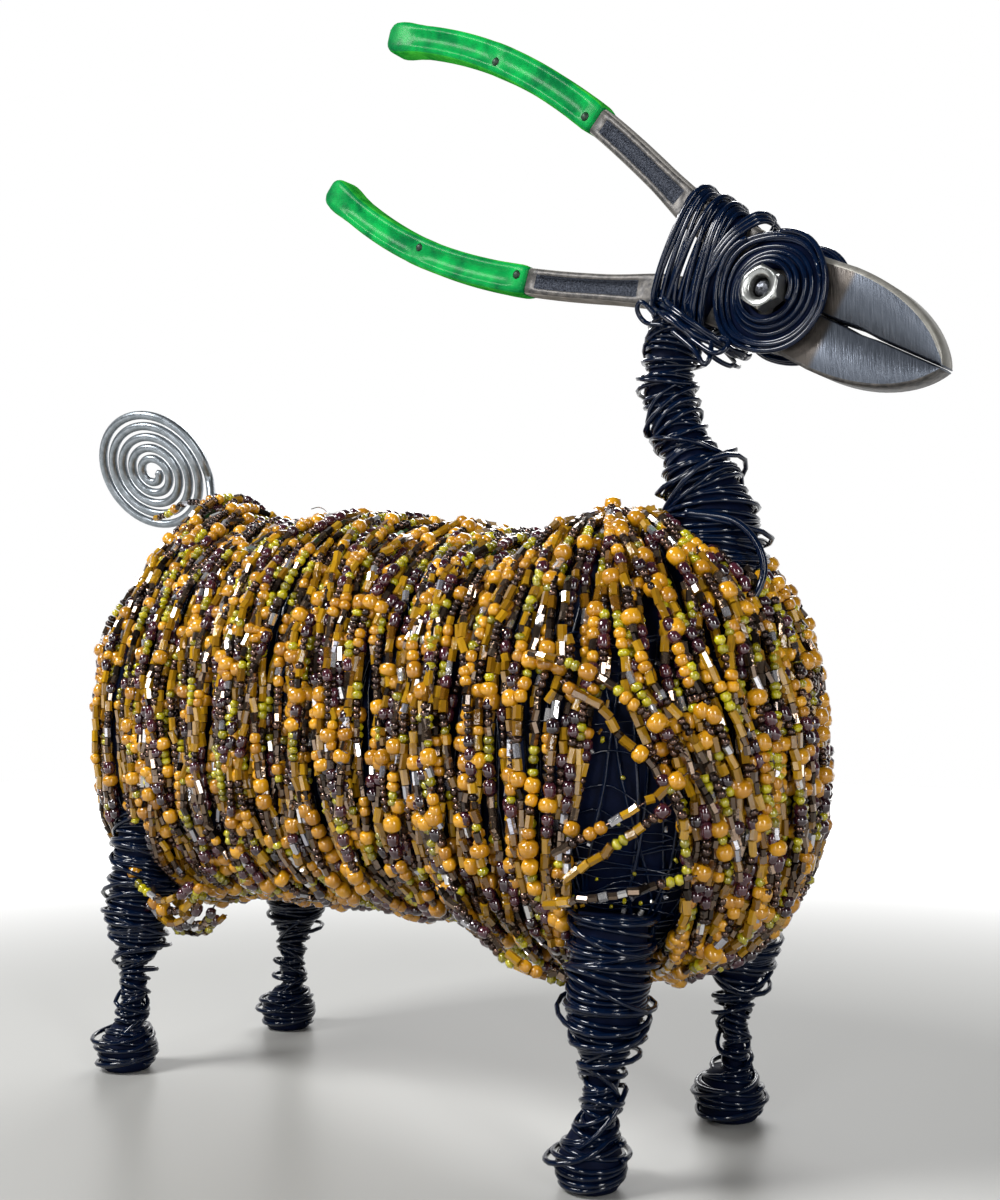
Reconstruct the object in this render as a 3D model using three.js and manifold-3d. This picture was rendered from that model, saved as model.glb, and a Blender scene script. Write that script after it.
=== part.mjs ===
// Standing goat: pliers for head and horns, black wire neck, trunk and legs, a fleece of bead strands, a spiral
// wire tail. Millimetres, +Z up, head towards +X, the goat's left side at +Y.
import * as THREE from 'three';
import { mergeVertices } from 'three/addons/utils/BufferGeometryUtils.js';
import Module from 'manifold-3d';

const wasm = await Module();
wasm.setup();

// Clearance between pieces that touch
const GAP = 0.3;

// Stance: feet at the corners of a rectangle on the ground, origin in its middle until the last lines
const FOOT_X = 71.5;
const FOOT_Y = 28.3;
const FOOT_FLAT_R = 4.8;
const FOOT_R = 7.7;
const FOOT_H = 11;

// Trunk and fleece: a spine from the rump pole to the withers pole, with a half-oval cap round each pole
const RUMP_X = -66;
const WITHERS_X = 60;
const RUMP_CAP = 27.5;
const CHEST_CAP = 45;
const FLEECE_HALF_W = 40.5;
const WAIST_IN = 2;
const SADDLE_X = 42;
const SADDLE_Z = 131;
const BACK_RISE = 9.5;
const LOIN_X = -25;
const RUMP_RISE = 7;
const WITHERS_RISE = 6;
const BELLY_Z = 45;
const CHEST_DROP = 9;
const GROIN_DROP = 4;
const TOP_SQUARENESS = 2.25;
const RUMP_SQUARENESS = 1.65;
const LOW_SQUARENESS = 2.7;
const BEAD_D = 4.2;
const RIDGE_DEPTH = 2.2;
const SKIN_ROWS = 9;
const TAIL_MOUND = { x: -73, height: 5, spread: 9 };

// Gap in the fleece at the right shoulder: middle height, half sizes, the way it faces in degrees, depth cut in
const SHOULDER_GAP = { z: 72, halfW: 10, halfH: 24, facing: -56, depth: 28 };
const STRAND_R = 1.3;
const STRAND_LIFT = 1.2;

// Legs: radii of the wire winding at ankle and thigh, and how thick one heaped turn stands out
const THIGH_R = 8.6;
const THIGH_TOP_R = 7.5;
const LEG_TOP_Z = 84;
const LEG_LEAN_IN = 5;
const LEG_TURN = 7;
const LEG_TURN_DEPTH = 1.1;
const TURN_ASKEW = 0.16;

// Neck: from the withers to the lashing, its bends as shares of the rise with how far each stands behind
const NECK_TURN = 6.6;
const NECK_TURN_DEPTH = 1.2;
const NECK_BASE_R = 11.4;
const NECK_R = 6.1;
const NECK_FROM_WITHERS = 24;
const NECK_ROOT_DEEP = 19;
const NECK_TOP_BACK = 24.6;
const NECK_TOP_UP = 5;
const NECK_BENDS = [[0.25, -1.4], [0.39, 0.6], [0.52, 3.7], [0.68, 5.4]];

// Pliers: pivot, slope of the jaws below level, and sizes of 180 mm side cutters
const PIVOT_X = 101.5;
const PIVOT_Z = 177;
const HEAD_SLOPE = THREE.MathUtils.degToRad(30.6);
const JAW_L = 38.7;
const JAW_HALF_W = 10.9;
const JAW_WIDEST = 14;
const JAW_HALF_T = 4.7;
const JAW_TIP_HALF_T = 2.9;
const JAW_SLIT = 0.3;
const JAW_BEVEL = 1.7;
const EDGE_BEVEL = 1.2;
const BOSS_R = 11;
const ROOT_FROM = 6;
const ROOT_INNER = 0.6;
const ROOT_SPREAD = 0.55;
const HANDLE_L = 137.5;
const HANDLE_SPREAD = 24.6;
const HANDLE_SPREAD_AT = 103;
const HANDLE_BEND = 1.12;
const HANDLE_ROOT = 27;
const HANDLE_HALF_W = 3.1;
const HANDLE_HALF_T = 2.8;
const HANDLE_CHAMFER = 0.9;
const POCKET_DEPTH = 1.1;
const POCKET_FROM = 33;
const GRIP_FROM = 63;
const GRIP_WALL = 1.1;
const GRIP_DIP = 0.45;
const TANG_HALF_W = 2.5;
const TANG_HALF_T = 2.2;

// Eyes: M5 stud through the pivot, a flat wire coil and a nut on each side
const STUD_R = 2;
const NUT_ACROSS = 8;
const NUT_T = 4;
const NUT_CUT = 0.55;
const NUT_TURN = THREE.MathUtils.degToRad(8);
const COIL_R = 13;
const COIL_T = 2.2;
const COIL_RIDGE = 0.8;

// Lashing round the lever roots, along the handles from the pivot
const LASHING_FROM = 13.5;
const LASHING_TO = 28.5;
const LASHING_HALF_W = 13.3;
const LASHING_END_HALF_W = 14.9;
const LASHING_HALF_T = 7.4;
const LASHING_SQUARENESS = 3.2;
const LASHING_END_ROUND = 0.5;
const LASHING_TURN_DEPTH = 0.7;
const LASHING_SLANT = 0.13;
const LASHING_ASKEW = 0.1;

// Tail: a flat spiral of bright wire, its end let into the rump
const TAIL_WIRE_R = 1.25;
const TAIL_R = 18.6;
const TAIL_TURNS = 5;
const TAIL_INNER_R = 1.9;
const TAIL_Z = 161.3;
const TAIL_X = -101.5;
const TAIL_YAW = THREE.MathUtils.degToRad(14);
const TAIL_TILT = THREE.MathUtils.degToRad(-29);
const TAIL_ROOT = [-74, 0, 138];

const rad = THREE.MathUtils.degToRad;
const mix = THREE.MathUtils.lerp;

// Smooth step from 0 at one value to 1 at another, either way round
function smooth(x, from, to) {
  const t = THREE.MathUtils.clamp((x - from) / (to - from), 0, 1);
  return t * t * (3 - 2 * t);
}

// Closed geometry from a list of points and triangles, turned to face out
function closedGeometry(points, triangles) {
  const raw = new THREE.BufferGeometry();
  raw.setAttribute('position', new THREE.Float32BufferAttribute(points.flatMap((p) => [p.x, p.y, p.z]), 3));
  let volume = 0;
  for (const [a, b, c] of triangles) {
    volume += points[a].dot(new THREE.Vector3().crossVectors(points[b], points[c]));
  }
  const facing = volume > 0 ? triangles : triangles.map(([a, b, c]) => [a, c, b]);
  raw.setIndex(facing.flat());
  const merged = mergeVertices(raw, 1e-4);
  const index = merged.getIndex().array;
  const kept = [];
  for (let i = 0; i < index.length; i += 3) {
    const [a, b, c] = [index[i], index[i + 1], index[i + 2]];
    if (a !== b && b !== c && c !== a) kept.push(a, b, c);
  }
  merged.setIndex(kept);
  return merged;
}

// Skin over rings of equally many points, with a flat fan over each end
function loft(rings) {
  const sides = rings[0].length;
  const points = rings.flat();
  const triangles = [];
  for (let r = 0; r + 1 < rings.length; r += 1) {
    for (let s = 0; s < sides; s += 1) {
      const a = r * sides + s;
      const b = r * sides + (s + 1) % sides;
      triangles.push([a, b, b + sides], [a, b + sides, a + sides]);
    }
  }
  for (const [ring, flip] of [[0, true], [rings.length - 1, false]]) {
    const middle = new THREE.Vector3();
    rings[ring].forEach((p) => middle.addScaledVector(p, 1 / sides));
    points.push(middle);
    for (let s = 0; s < sides; s += 1) {
      const a = ring * sides + s;
      const b = ring * sides + (s + 1) % sides;
      triangles.push(flip ? [points.length - 1, b, a] : [points.length - 1, a, b]);
    }
  }
  return closedGeometry(points, triangles);
}

function toSolid(geometry) {
  const bare = geometry.clone();
  bare.deleteAttribute('normal');
  bare.deleteAttribute('uv');
  const merged = mergeVertices(bare, 1e-4);
  return new wasm.Manifold(new wasm.Mesh({
    numProp: 3,
    vertProperties: new Float32Array(merged.getAttribute('position').array),
    triVerts: new Uint32Array(merged.getIndex().array),
  }));
}

// Mesh of a solid's main body, without slivers that a glancing cut leaves
function toGeometry(solid) {
  const bodies = solid.decompose().sort((a, b) => b.volume() - a.volume());
  const mesh = bodies[0].getMesh();
  const geometry = new THREE.BufferGeometry();
  geometry.setAttribute('position', new THREE.BufferAttribute(new Float32Array(mesh.vertProperties), 3));
  geometry.setIndex(new THREE.BufferAttribute(new Uint32Array(mesh.triVerts), 1));
  return geometry;
}

// Ring of points round a centre, in the plane of two given directions
function ringRound(centre, across, up, radiusAcross, radiusUp, sides, squareness = 2) {
  return Array.from({ length: sides }, (_, s) => {
    const angle = 2 * Math.PI * (s + 0.5) / sides;
    const c = Math.cos(angle);
    const n = Math.sin(angle);
    const reach = 1 / (Math.abs(c) ** squareness + Math.abs(n) ** squareness) ** (1 / squareness);
    return centre.clone().addScaledVector(across, radiusAcross * reach * c).addScaledVector(up, radiusUp * reach * n);
  });
}

// Heaped turns of wire along a curve: a crest and a valley ring for each turn, each a little askew
function windingRings(curve, radiusAt, turns, depth, sides) {
  const rings = [];
  for (let i = 0; i <= 2 * turns; i += 1) {
    const t = i / (2 * turns);
    const centre = curve.getPointAt(t);
    const along = curve.getTangentAt(t);
    along.x += TURN_ASKEW * Math.sin(2.4 * i);
    along.y += TURN_ASKEW * Math.cos(1.7 * i);
    along.normalize();
    const across = new THREE.Vector3(0, 1, 0).cross(along).normalize();
    const up = new THREE.Vector3().crossVectors(along, across);
    const radius = radiusAt(t, centre) + (i % 2 === 0 ? -depth : depth * 0.35 * Math.sin(1.3 * i));
    rings.push(ringRound(centre, across, up, radius, radius, sides));
  }
  return rings;
}

// Trunk and fleece surface

function spineTop(x) {
  const alongBack = THREE.MathUtils.clamp((SADDLE_X - x) / (SADDLE_X - LOIN_X), 0, 1);
  return SADDLE_Z + BACK_RISE * Math.sin(0.5 * Math.PI * alongBack) + RUMP_RISE * smooth(x, LOIN_X - 13, RUMP_X)
    + WITHERS_RISE * smooth(x, SADDLE_X, WITHERS_X);
}

function spineBelly(x) {
  return BELLY_Z - CHEST_DROP * smooth(x, 25, WITHERS_X) - GROIN_DROP * smooth(x, -40, RUMP_X);
}

// Point of the body's skin: x of the spine, plan direction in radians, fraction of the way from top to belly
function skinPoint(x, direction, down, grow) {
  const top = spineTop(x) + grow;
  const belly = spineBelly(x) - grow;
  const middle = (top + belly) / 2;
  const angle = Math.PI * (0.5 - down);
  const topSquareness = mix(TOP_SQUARENESS, RUMP_SQUARENESS, smooth(x, -20, RUMP_X));
  const squareness = angle > 0 ? topSquareness : LOW_SQUARENESS;
  const reach = Math.abs(Math.cos(angle)) ** (2 / squareness);
  const lift = Math.sign(angle) * Math.abs(Math.sin(angle)) ** (2 / squareness);
  const forward = Math.cos(direction);
  const side = Math.sin(direction);
  const cap = (forward > 0 ? CHEST_CAP : RUMP_CAP) + grow;
  const waist = WAIST_IN * Math.cos(0.5 * Math.PI * THREE.MathUtils.clamp(x / WITHERS_X, -1, 1));
  const halfW = FLEECE_HALF_W - waist + grow;
  const radius = reach / Math.hypot(forward / cap, side / halfW);
  const p = new THREE.Vector3(x + radius * forward, radius * side, middle + (top - middle) * lift);
  const fromRoot = Math.hypot(p.x - TAIL_MOUND.x, p.y) / TAIL_MOUND.spread;
  if (angle > 0) p.z += TAIL_MOUND.height * Math.exp(-0.5 * fromRoot * fromRoot);
  return p;
}

// Closed skin with a column of points down each strand and down each groove between strands
function bodySkin(sideStrands, chestStrands, rumpStrands, rows, grow, ridgeDepth) {
  const columns = [];
  const sideSteps = 2 * sideStrands;
  const addSide = (direction, from, to) => {
    for (let i = 0; i <= sideSteps; i += 1) columns.push([mix(from, to, i / sideSteps), direction]);
  };
  const addCap = (x, from, strands) => {
    for (let i = 1; i < 2 * strands; i += 1) columns.push([x, from + Math.PI * i / (2 * strands)]);
  };
  addSide(-Math.PI / 2, RUMP_X, WITHERS_X);
  addCap(WITHERS_X, -Math.PI / 2, chestStrands);
  addSide(Math.PI / 2, WITHERS_X, RUMP_X);
  addCap(RUMP_X, Math.PI / 2, rumpStrands);
  const points = [];
  columns.forEach(([x, direction], i) => {
    for (let j = 0; j <= rows; j += 1) {
      const onSpine = j === 0 || j === rows;
      const groove = i % 2 === 1 && !onSpine ? ridgeDepth : 0;
      points.push(skinPoint(x, direction, j / rows, grow - groove));
    }
  });
  const triangles = [];
  for (let i = 0; i < columns.length; i += 1) {
    for (let j = 0; j < rows; j += 1) {
      const a = i * (rows + 1) + j;
      const b = ((i + 1) % columns.length) * (rows + 1) + j;
      triangles.push([a, b, b + 1], [a, b + 1, a + 1]);
    }
  }
  return closedGeometry(points, triangles);
}

// Legs

const LEGS = {
  leg_front_right: { x: FOOT_X, y: -FOOT_Y, bow: 5, ankleZ: 20, ankleR: 5 },
  leg_front_left: { x: FOOT_X, y: FOOT_Y, bow: 4, ankleZ: 24, ankleR: 4.4 },
  leg_rear_right: { x: -FOOT_X, y: -FOOT_Y, bow: 4, ankleZ: 24, ankleR: 4.6 },
  leg_rear_left: { x: -FOOT_X, y: FOOT_Y, bow: 3, ankleZ: 22, ankleR: 4.8 },
};

function legCurve(leg) {
  const inward = -Math.sign(leg.y);
  const at = (z, bow, lean) => new THREE.Vector3(leg.x + bow * leg.bow, leg.y + inward * lean * LEG_LEAN_IN, z);
  return new THREE.CatmullRomCurve3([at(FOOT_H, 0.3, 0), at(leg.ankleZ, 0.5, 0), at(0.5 * LEG_TOP_Z, 0.9, 0),
    at(0.7 * LEG_TOP_Z, 1.1, 0.2), at(LEG_TOP_Z, 1.2, 1)]);
}

function legRadius(leg, z) {
  const calf = mix(leg.ankleR, THIGH_R, smooth(z, leg.ankleZ + 1, leg.ankleZ + 14));
  const shin = mix(FOOT_R - 1, calf, smooth(z, FOOT_H, leg.ankleZ - 2));
  return mix(shin, THIGH_TOP_R, smooth(z, 0.75 * LEG_TOP_Z, LEG_TOP_Z));
}

function legGeometry(leg) {
  const sides = 8;
  const curve = legCurve(leg);
  const foot = new THREE.Vector3(leg.x, leg.y, 0);
  const level = (z, radius) => ringRound(foot.clone().setZ(z), new THREE.Vector3(1, 0, 0), new THREE.Vector3(0, 1, 0),
    radius, radius, sides);
  const hoof = [level(0, FOOT_FLAT_R), level(0.13 * FOOT_H, 0.86 * FOOT_R), level(0.36 * FOOT_H, 0.93 * FOOT_R),
    level(0.6 * FOOT_H, FOOT_R), level(0.85 * FOOT_H, 0.8 * FOOT_R)];
  const turns = Math.round(curve.getLength() / LEG_TURN);
  const shank = windingRings(curve, (t, p) => legRadius(leg, p.z), turns, LEG_TURN_DEPTH, sides);
  return loft([...hoof, ...shank.slice(1)]);
}

function legSleeve(leg) {
  const curve = legCurve(leg);
  return loft(windingRings(curve, (t, p) => legRadius(leg, p.z) + LEG_TURN_DEPTH + GAP, 4, 0, 8));
}

// Neck

const neckBase = new THREE.Vector3(WITHERS_X + NECK_FROM_WITHERS, 0, SADDLE_Z + WITHERS_RISE - NECK_ROOT_DEEP);
const neckTop = new THREE.Vector3(PIVOT_X - NECK_TOP_BACK, 0, PIVOT_Z + NECK_TOP_UP);
const neckBends = NECK_BENDS.map(([share, behind]) => {
  const bend = neckBase.clone().lerp(neckTop, share);
  bend.x -= behind;
  return bend;
});
const neckCurve = new THREE.CatmullRomCurve3([neckBase, ...neckBends, neckTop]);

function neckRadius(t) {
  return mix(NECK_BASE_R, NECK_R, smooth(t, 0.12, 0.52));
}

function neckGeometry() {
  const turns = Math.round(neckCurve.getLength() / NECK_TURN);
  return loft(windingRings(neckCurve, neckRadius, turns, NECK_TURN_DEPTH, 8));
}

function neckSleeve() {
  return loft(windingRings(neckCurve, (t) => neckRadius(t) + NECK_TURN_DEPTH + GAP, 4, 0, 8));
}

// Pliers, in the head's own frame: +X along the jaws from the pivot, +Z across them, handles towards -X

function jawHalfWidth(x) {
  if (x < JAW_WIDEST) return mix(0.92 * JAW_HALF_W, JAW_HALF_W, x / JAW_WIDEST);
  const along = (x - JAW_WIDEST) / (JAW_L - JAW_WIDEST);
  return Math.max(JAW_HALF_W * (1 - along ** 2.2) ** 0.66, 1.1);
}

// Lower jaw: cutting edge on top, ground bevel to the faces, bevel along the outer edge
function jawGeometry() {
  const stations = [1.5, 8, JAW_WIDEST];
  const steps = 5;
  for (let i = 1; i <= steps; i += 1) {
    stations.push(JAW_WIDEST + (JAW_L - JAW_WIDEST) * Math.sin(0.5 * Math.PI * i / steps));
  }
  return loft(stations.map((x) => {
    const w = jawHalfWidth(x);
    const t = mix(JAW_HALF_T, JAW_TIP_HALF_T, smooth(x, JAW_WIDEST, JAW_L));
    const edge = Math.min(EDGE_BEVEL, 0.25 * w);
    const bevel = Math.min(JAW_BEVEL, 0.3 * w);
    const half = [[0.4, JAW_SLIT], [t, JAW_SLIT + edge], [t, w - bevel], [t - 0.7 * bevel, w]];
    const section = [...half, ...half.slice().reverse().map(([y, z]) => [-y, z])];
    return section.map(([y, z]) => new THREE.Vector3(x, y, -z));
  }));
}

function handleRise(u) {
  return HANDLE_SPREAD * Math.sin(0.5 * Math.PI * (u / HANDLE_SPREAD_AT) ** HANDLE_BEND);
}

// Middle line and half width of a handle at u from the pivot; the root widens to meet the boss
function handleAt(u, halfW) {
  if (u >= HANDLE_ROOT) {
    const flare = ROOT_SPREAD * smooth(u, HANDLE_ROOT + 15, HANDLE_ROOT);
    return { rise: handleRise(u), half: halfW + flare };
  }
  const share = (u - ROOT_FROM) / (HANDLE_ROOT - ROOT_FROM);
  const rootHalf = HANDLE_HALF_W + ROOT_SPREAD;
  const outer = mix(0.96 * BOSS_R, handleRise(HANDLE_ROOT) + rootHalf, share);
  const inner = mix(ROOT_INNER, handleRise(HANDLE_ROOT) - rootHalf, share);
  return { rise: (outer + inner) / 2, half: (outer - inner) / 2 };
}

// Twelve-sided bar section across a handle, with a trough of a given depth in both faces
function barRing(u, halfW, halfT, chamfer, trough) {
  const here = handleAt(u, halfW);
  const slope = (handleAt(u + 0.5, halfW).rise - handleAt(u - 0.5, halfW).rise);
  const along = new THREE.Vector3(-1, 0, slope).normalize();
  const across = new THREE.Vector3(-along.z, 0, along.x).negate();
  const centre = new THREE.Vector3(-u, 0, here.rise);
  const a = here.half;
  const floor = 0.45 * (a - chamfer);
  const face = [[a, halfT - chamfer], [a - chamfer, halfT], [floor, halfT - trough], [-floor, halfT - trough],
    [chamfer - a, halfT], [-a, halfT - chamfer]];
  const section = [...face, ...face.slice().reverse().map(([s, y]) => [s, -y])];
  return section.map(([s, y]) => centre.clone().addScaledVector(across, s).setY(y));
}

// Upper handle: bare root with its pocket, then the slim tang that runs inside the sleeve
function handleGeometry(grow) {
  const pocketTo = GRIP_FROM - 4;
  const bare = [[ROOT_FROM, 0], [HANDLE_ROOT, 0], [POCKET_FROM, 0], [POCKET_FROM + 2, POCKET_DEPTH],
    [0.5 * (POCKET_FROM + GRIP_FROM), POCKET_DEPTH], [pocketTo, POCKET_DEPTH], [pocketTo + 2, 0], [GRIP_FROM, 0]];
  const rings = bare.map(([u, trough]) => barRing(u, HANDLE_HALF_W + grow, HANDLE_HALF_T + grow, HANDLE_CHAMFER,
    trough));
  const tangSteps = 3;
  for (let i = 0; i <= tangSteps; i += 1) {
    const u = mix(GRIP_FROM + 0.2, HANDLE_L - 2 * GRIP_WALL, i / tangSteps);
    rings.push(barRing(u, TANG_HALF_W + grow, TANG_HALF_T + grow, HANDLE_CHAMFER, 0));
  }
  return loft(rings);
}

// Sleeve: two shallow pockets in each face, a swollen rounded end
function gripGeometry() {
  const rings = [];
  const length = HANDLE_L - GRIP_FROM;
  const stations = [
    [0, 0.9, 0], [0.04, 1, 0], [0.08, 1, 1], [0.26, 0.98, 1], [0.44, 1, 1], [0.47, 1, 0], [0.5, 1, 1],
    [0.69, 0.97, 1], [0.87, 1.02, 1], [0.92, 1.12, 0], [0.98, 0.95, 0], [1, 0.5, 0],
  ];
  for (const [share, swell, dip] of stations) {
    const halfW = (TANG_HALF_W + GRIP_WALL) * swell;
    const halfT = (TANG_HALF_T + GRIP_WALL) * (0.5 + 0.5 * swell);
    rings.push(barRing(GRIP_FROM + GAP + length * share, halfW, halfT, 1.2 * swell, dip * GRIP_DIP));
  }
  const bore = [];
  const boreSteps = 3;
  for (let i = 0; i <= boreSteps; i += 1) {
    const u = mix(GRIP_FROM - 2, HANDLE_L - 2 * GRIP_WALL + GAP, i / boreSteps);
    bore.push(barRing(u, TANG_HALF_W + GAP, TANG_HALF_T + GAP, HANDLE_CHAMFER, 0));
  }
  return toGeometry(toSolid(loft(rings)).subtract(toSolid(loft(bore))));
}

// Round plate about the pivot, between two depths in Y
function plate(radius, fromY, toY, sides = 16) {
  const geometry = new THREE.CylinderGeometry(radius, radius, toY - fromY, sides);
  geometry.translate(0, (fromY + toY) / 2, 0);
  return toSolid(geometry);
}

// One lever: the upper handle and the lower jaw, joined by a half-thick boss and notched for the other's boss
function leverGeometry() {
  const seam = GAP / 2;
  const notch = plate(BOSS_R + GAP, -seam, JAW_HALF_T + 1);
  const boss = plate(BOSS_R, -JAW_HALF_T, -seam);
  const hole = plate(STUD_R + GAP, -JAW_HALF_T - 1, JAW_HALF_T + 1, 12);
  const bar = toSolid(jawGeometry()).add(toSolid(handleGeometry(0)));
  return toGeometry(bar.subtract(notch).add(boss).subtract(hole));
}

function studGeometry() {
  const half = JAW_HALF_T + GAP + COIL_T + GAP + 0.75 * NUT_T;
  const bevel = 0.5;
  const profile = [[0, -half], [STUD_R, -half + bevel], [STUD_R, half - bevel], [0, half]];
  return new THREE.LatheGeometry(profile.map(([r, y]) => new THREE.Vector2(r, y)), 12);
}

// Hex nut lying along Y, corners chamfered, its back at y = 0
function nutGeometry() {
  const corner = NUT_ACROSS / Math.sqrt(3);
  const hex = new THREE.CylinderGeometry(corner, corner, NUT_T, 6);
  hex.translate(0, NUT_T / 2, 0);
  const flat = corner - NUT_CUT;
  const wide = corner + 0.2;
  const profile = [[0, 0], [flat, 0], [wide, NUT_CUT], [wide, NUT_T - NUT_CUT], [flat, NUT_T], [0, NUT_T]];
  const cone = new THREE.LatheGeometry(profile.map(([r, y]) => new THREE.Vector2(r, y)), 12);
  const bore = plate(STUD_R + GAP, -1, NUT_T + 1, 12);
  return toGeometry(toSolid(hex).intersect(toSolid(cone)).subtract(bore));
}

// Flat spiral of black wire round the nut, its turns as rings on a thin disc, its back at y = 0
function coilGeometry() {
  const profile = [[STUD_R + GAP, 0], [COIL_R - 0.6, 0], [COIL_R, 0.5 * COIL_T]];
  const ridges = 3;
  const wide = (COIL_R - STUD_R - GAP) / ridges;
  for (let i = 0; i < ridges; i += 1) {
    const crest = COIL_R - wide * (i + 0.5);
    profile.push([crest, COIL_T]);
    profile.push([Math.max(crest - 0.5 * wide, STUD_R + GAP), COIL_T - COIL_RIDGE]);
  }
  profile.push([STUD_R + GAP, 0]);
  return new THREE.LatheGeometry(profile.map(([r, y]) => new THREE.Vector2(r, y)), 12);
}

// Wire turns round both lever roots, askew, hollowed for the levers and clear of the eye coils
function lashingHull(grow) {
  const rings = [];
  const turns = 5;
  for (let i = 0; i <= 2 * turns; i += 1) {
    const u = mix(LASHING_FROM, LASHING_TO, i / (2 * turns));
    const end = i === 0 || i === 2 * turns ? LASHING_END_ROUND : 0;
    const depth = grow > 0 ? -grow : (i % 2) * LASHING_TURN_DEPTH;
    const lean = LASHING_ASKEW * Math.sin(2.1 * i) - LASHING_SLANT;
    const across = new THREE.Vector3(lean, 0, 1).normalize();
    const halfW = mix(LASHING_HALF_W, LASHING_END_HALF_W, i / (2 * turns));
    rings.push(ringRound(new THREE.Vector3(-u, 0, 0), across, new THREE.Vector3(0, 1, 0),
      halfW - end - depth, LASHING_HALF_T - end - depth, 12, LASHING_SQUARENESS));
  }
  return loft(rings);
}

function lashingGeometry() {
  const upper = toSolid(handleGeometry(GAP));
  const lower = toSolid(handleGeometry(GAP).rotateX(Math.PI));
  const bosses = plate(BOSS_R + GAP, -JAW_HALF_T - GAP, JAW_HALF_T + GAP);
  const coils = plate(COIL_R + GAP, -2 * LASHING_HALF_T, 2 * LASHING_HALF_T);
  return toGeometry(toSolid(lashingHull(0)).subtract(upper).subtract(lower).subtract(bosses).subtract(coils));
}

// Tail

function tailCurve() {
  const normal = new THREE.Vector3(Math.sin(TAIL_YAW) * Math.cos(TAIL_TILT),
    -Math.cos(TAIL_YAW) * Math.cos(TAIL_TILT), Math.sin(TAIL_TILT));
  const across = new THREE.Vector3(Math.cos(TAIL_YAW), Math.sin(TAIL_YAW), 0);
  const up = new THREE.Vector3().crossVectors(normal, across).normalize();
  const centre = new THREE.Vector3(TAIL_X, 0, TAIL_Z);
  const perTurn = 11;
  const last = TAIL_TURNS * perTurn;
  const points = [];
  for (let i = 0; i <= last; i += 1) {
    const share = i / last;
    const angle = rad(5) + 2 * Math.PI * TAIL_TURNS * (1 - share);
    const radius = mix(TAIL_INNER_R, TAIL_R, share);
    points.push(centre.clone().addScaledVector(across, radius * Math.cos(angle))
      .addScaledVector(up, radius * Math.sin(angle)));
  }
  const end = points[last];
  const before = end.clone().addScaledVector(up, -0.35 * TAIL_R);
  return { points, normal, tip: [before, new THREE.Vector3(...TAIL_ROOT)] };
}

function wireRings(points, normal, radius, sides) {
  return points.map((p, i) => {
    const from = points[Math.max(i - 1, 0)];
    const to = points[Math.min(i + 1, points.length - 1)];
    const along = to.clone().sub(from).normalize();
    const across = new THREE.Vector3().crossVectors(along, normal).normalize();
    const up = new THREE.Vector3().crossVectors(along, across);
    return ringRound(p, across, up, radius, radius, sides);
  });
}

function tailGeometry(grow) {
  const { points, normal, tip } = tailCurve();
  const lead = grow > 0 ? points.slice(-3) : points;
  return loft(wireRings([...lead, ...tip], normal, TAIL_WIRE_R + grow, 5));
}

// Loose strands across the shoulder gap, bowed out from the skin

const LOOSE_STRANDS = {
  loose_strand_1: [[-66, 0.575], [-40, 0.515]],
  loose_strand_2: [[-68, 0.615], [-44, 0.54]],
  loose_strand_3: [[-80, 0.67], [-37, 0.62]],
};

// Pushes a point level outwards until a strand there rides over the leg's winding
function overLeg(p, leg) {
  const axis = legCurve(leg).getPoints(40).reduce((a, b) => (Math.abs(b.z - p.z) < Math.abs(a.z - p.z) ? b : a));
  const out = p.clone().sub(axis).setZ(0);
  const reach = legRadius(leg, p.z) + LEG_TURN_DEPTH + STRAND_R + GAP;
  if (out.length() < reach) p.addScaledVector(out.normalize(), reach - p.clone().sub(axis).setZ(0).length());
  return p;
}

function strandPath([[fromDir, fromDown], [toDir, toDown]], grow) {
  const steps = 6;
  return Array.from({ length: steps + 1 }, (_, i) => {
    const t = i / steps;
    const onSkin = skinPoint(WITHERS_X, rad(mix(fromDir, toDir, t)), mix(fromDown, toDown, t), grow);
    return overLeg(onSkin, LEGS.leg_front_right);
  });
}

function strandGeometry(ends) {
  return loft(wireRings(strandPath(ends, STRAND_R + STRAND_LIFT), new THREE.Vector3(0, 0, 1), STRAND_R, 5));
}

// Opening in the fleece: a drop-shaped prism driven in from outside, its point up
function shoulderCutter() {
  const gap = SHOULDER_GAP;
  const outline = new THREE.Shape();
  const widest = -0.35 * gap.halfH;
  outline.moveTo(0, gap.halfH);
  outline.quadraticCurveTo(gap.halfW, 0.3 * gap.halfH, gap.halfW, widest);
  outline.quadraticCurveTo(gap.halfW, -gap.halfH, 0, -gap.halfH);
  outline.quadraticCurveTo(-gap.halfW, -gap.halfH, -gap.halfW, widest);
  outline.quadraticCurveTo(-gap.halfW, 0.3 * gap.halfH, 0, gap.halfH);
  const length = gap.depth + 2 * BEAD_D;
  const prism = new THREE.ExtrudeGeometry(outline, { depth: length, bevelEnabled: false, curveSegments: 3 });
  prism.rotateX(Math.PI / 2);
  prism.rotateZ(rad(gap.facing + 90));
  const outward = new THREE.Vector3(Math.cos(rad(gap.facing)), Math.sin(rad(gap.facing)), 0);
  const surface = skinPoint(WITHERS_X, rad(gap.facing), 0.5, 0);
  prism.translate(surface.x - gap.depth * outward.x, surface.y - gap.depth * outward.y, gap.z);
  return toSolid(prism);
}

// Materials

function finish(colour, roughness, metalness) {
  return new THREE.MeshStandardMaterial({ color: colour, roughness, metalness });
}

const steel = finish('#77777c', 0.42, 0.9);
const zinc = finish('#b9bcc0', 0.25, 1);
const blackWire = finish('#11141f', 0.3, 0.4);
const brightWire = finish('#9aa0a6', 0.35, 0.9);
const greenVinyl = finish('#14823a', 0.4, 0);
const beads = finish('#8a5f22', 0.35, 0);

// Assembly

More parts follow.
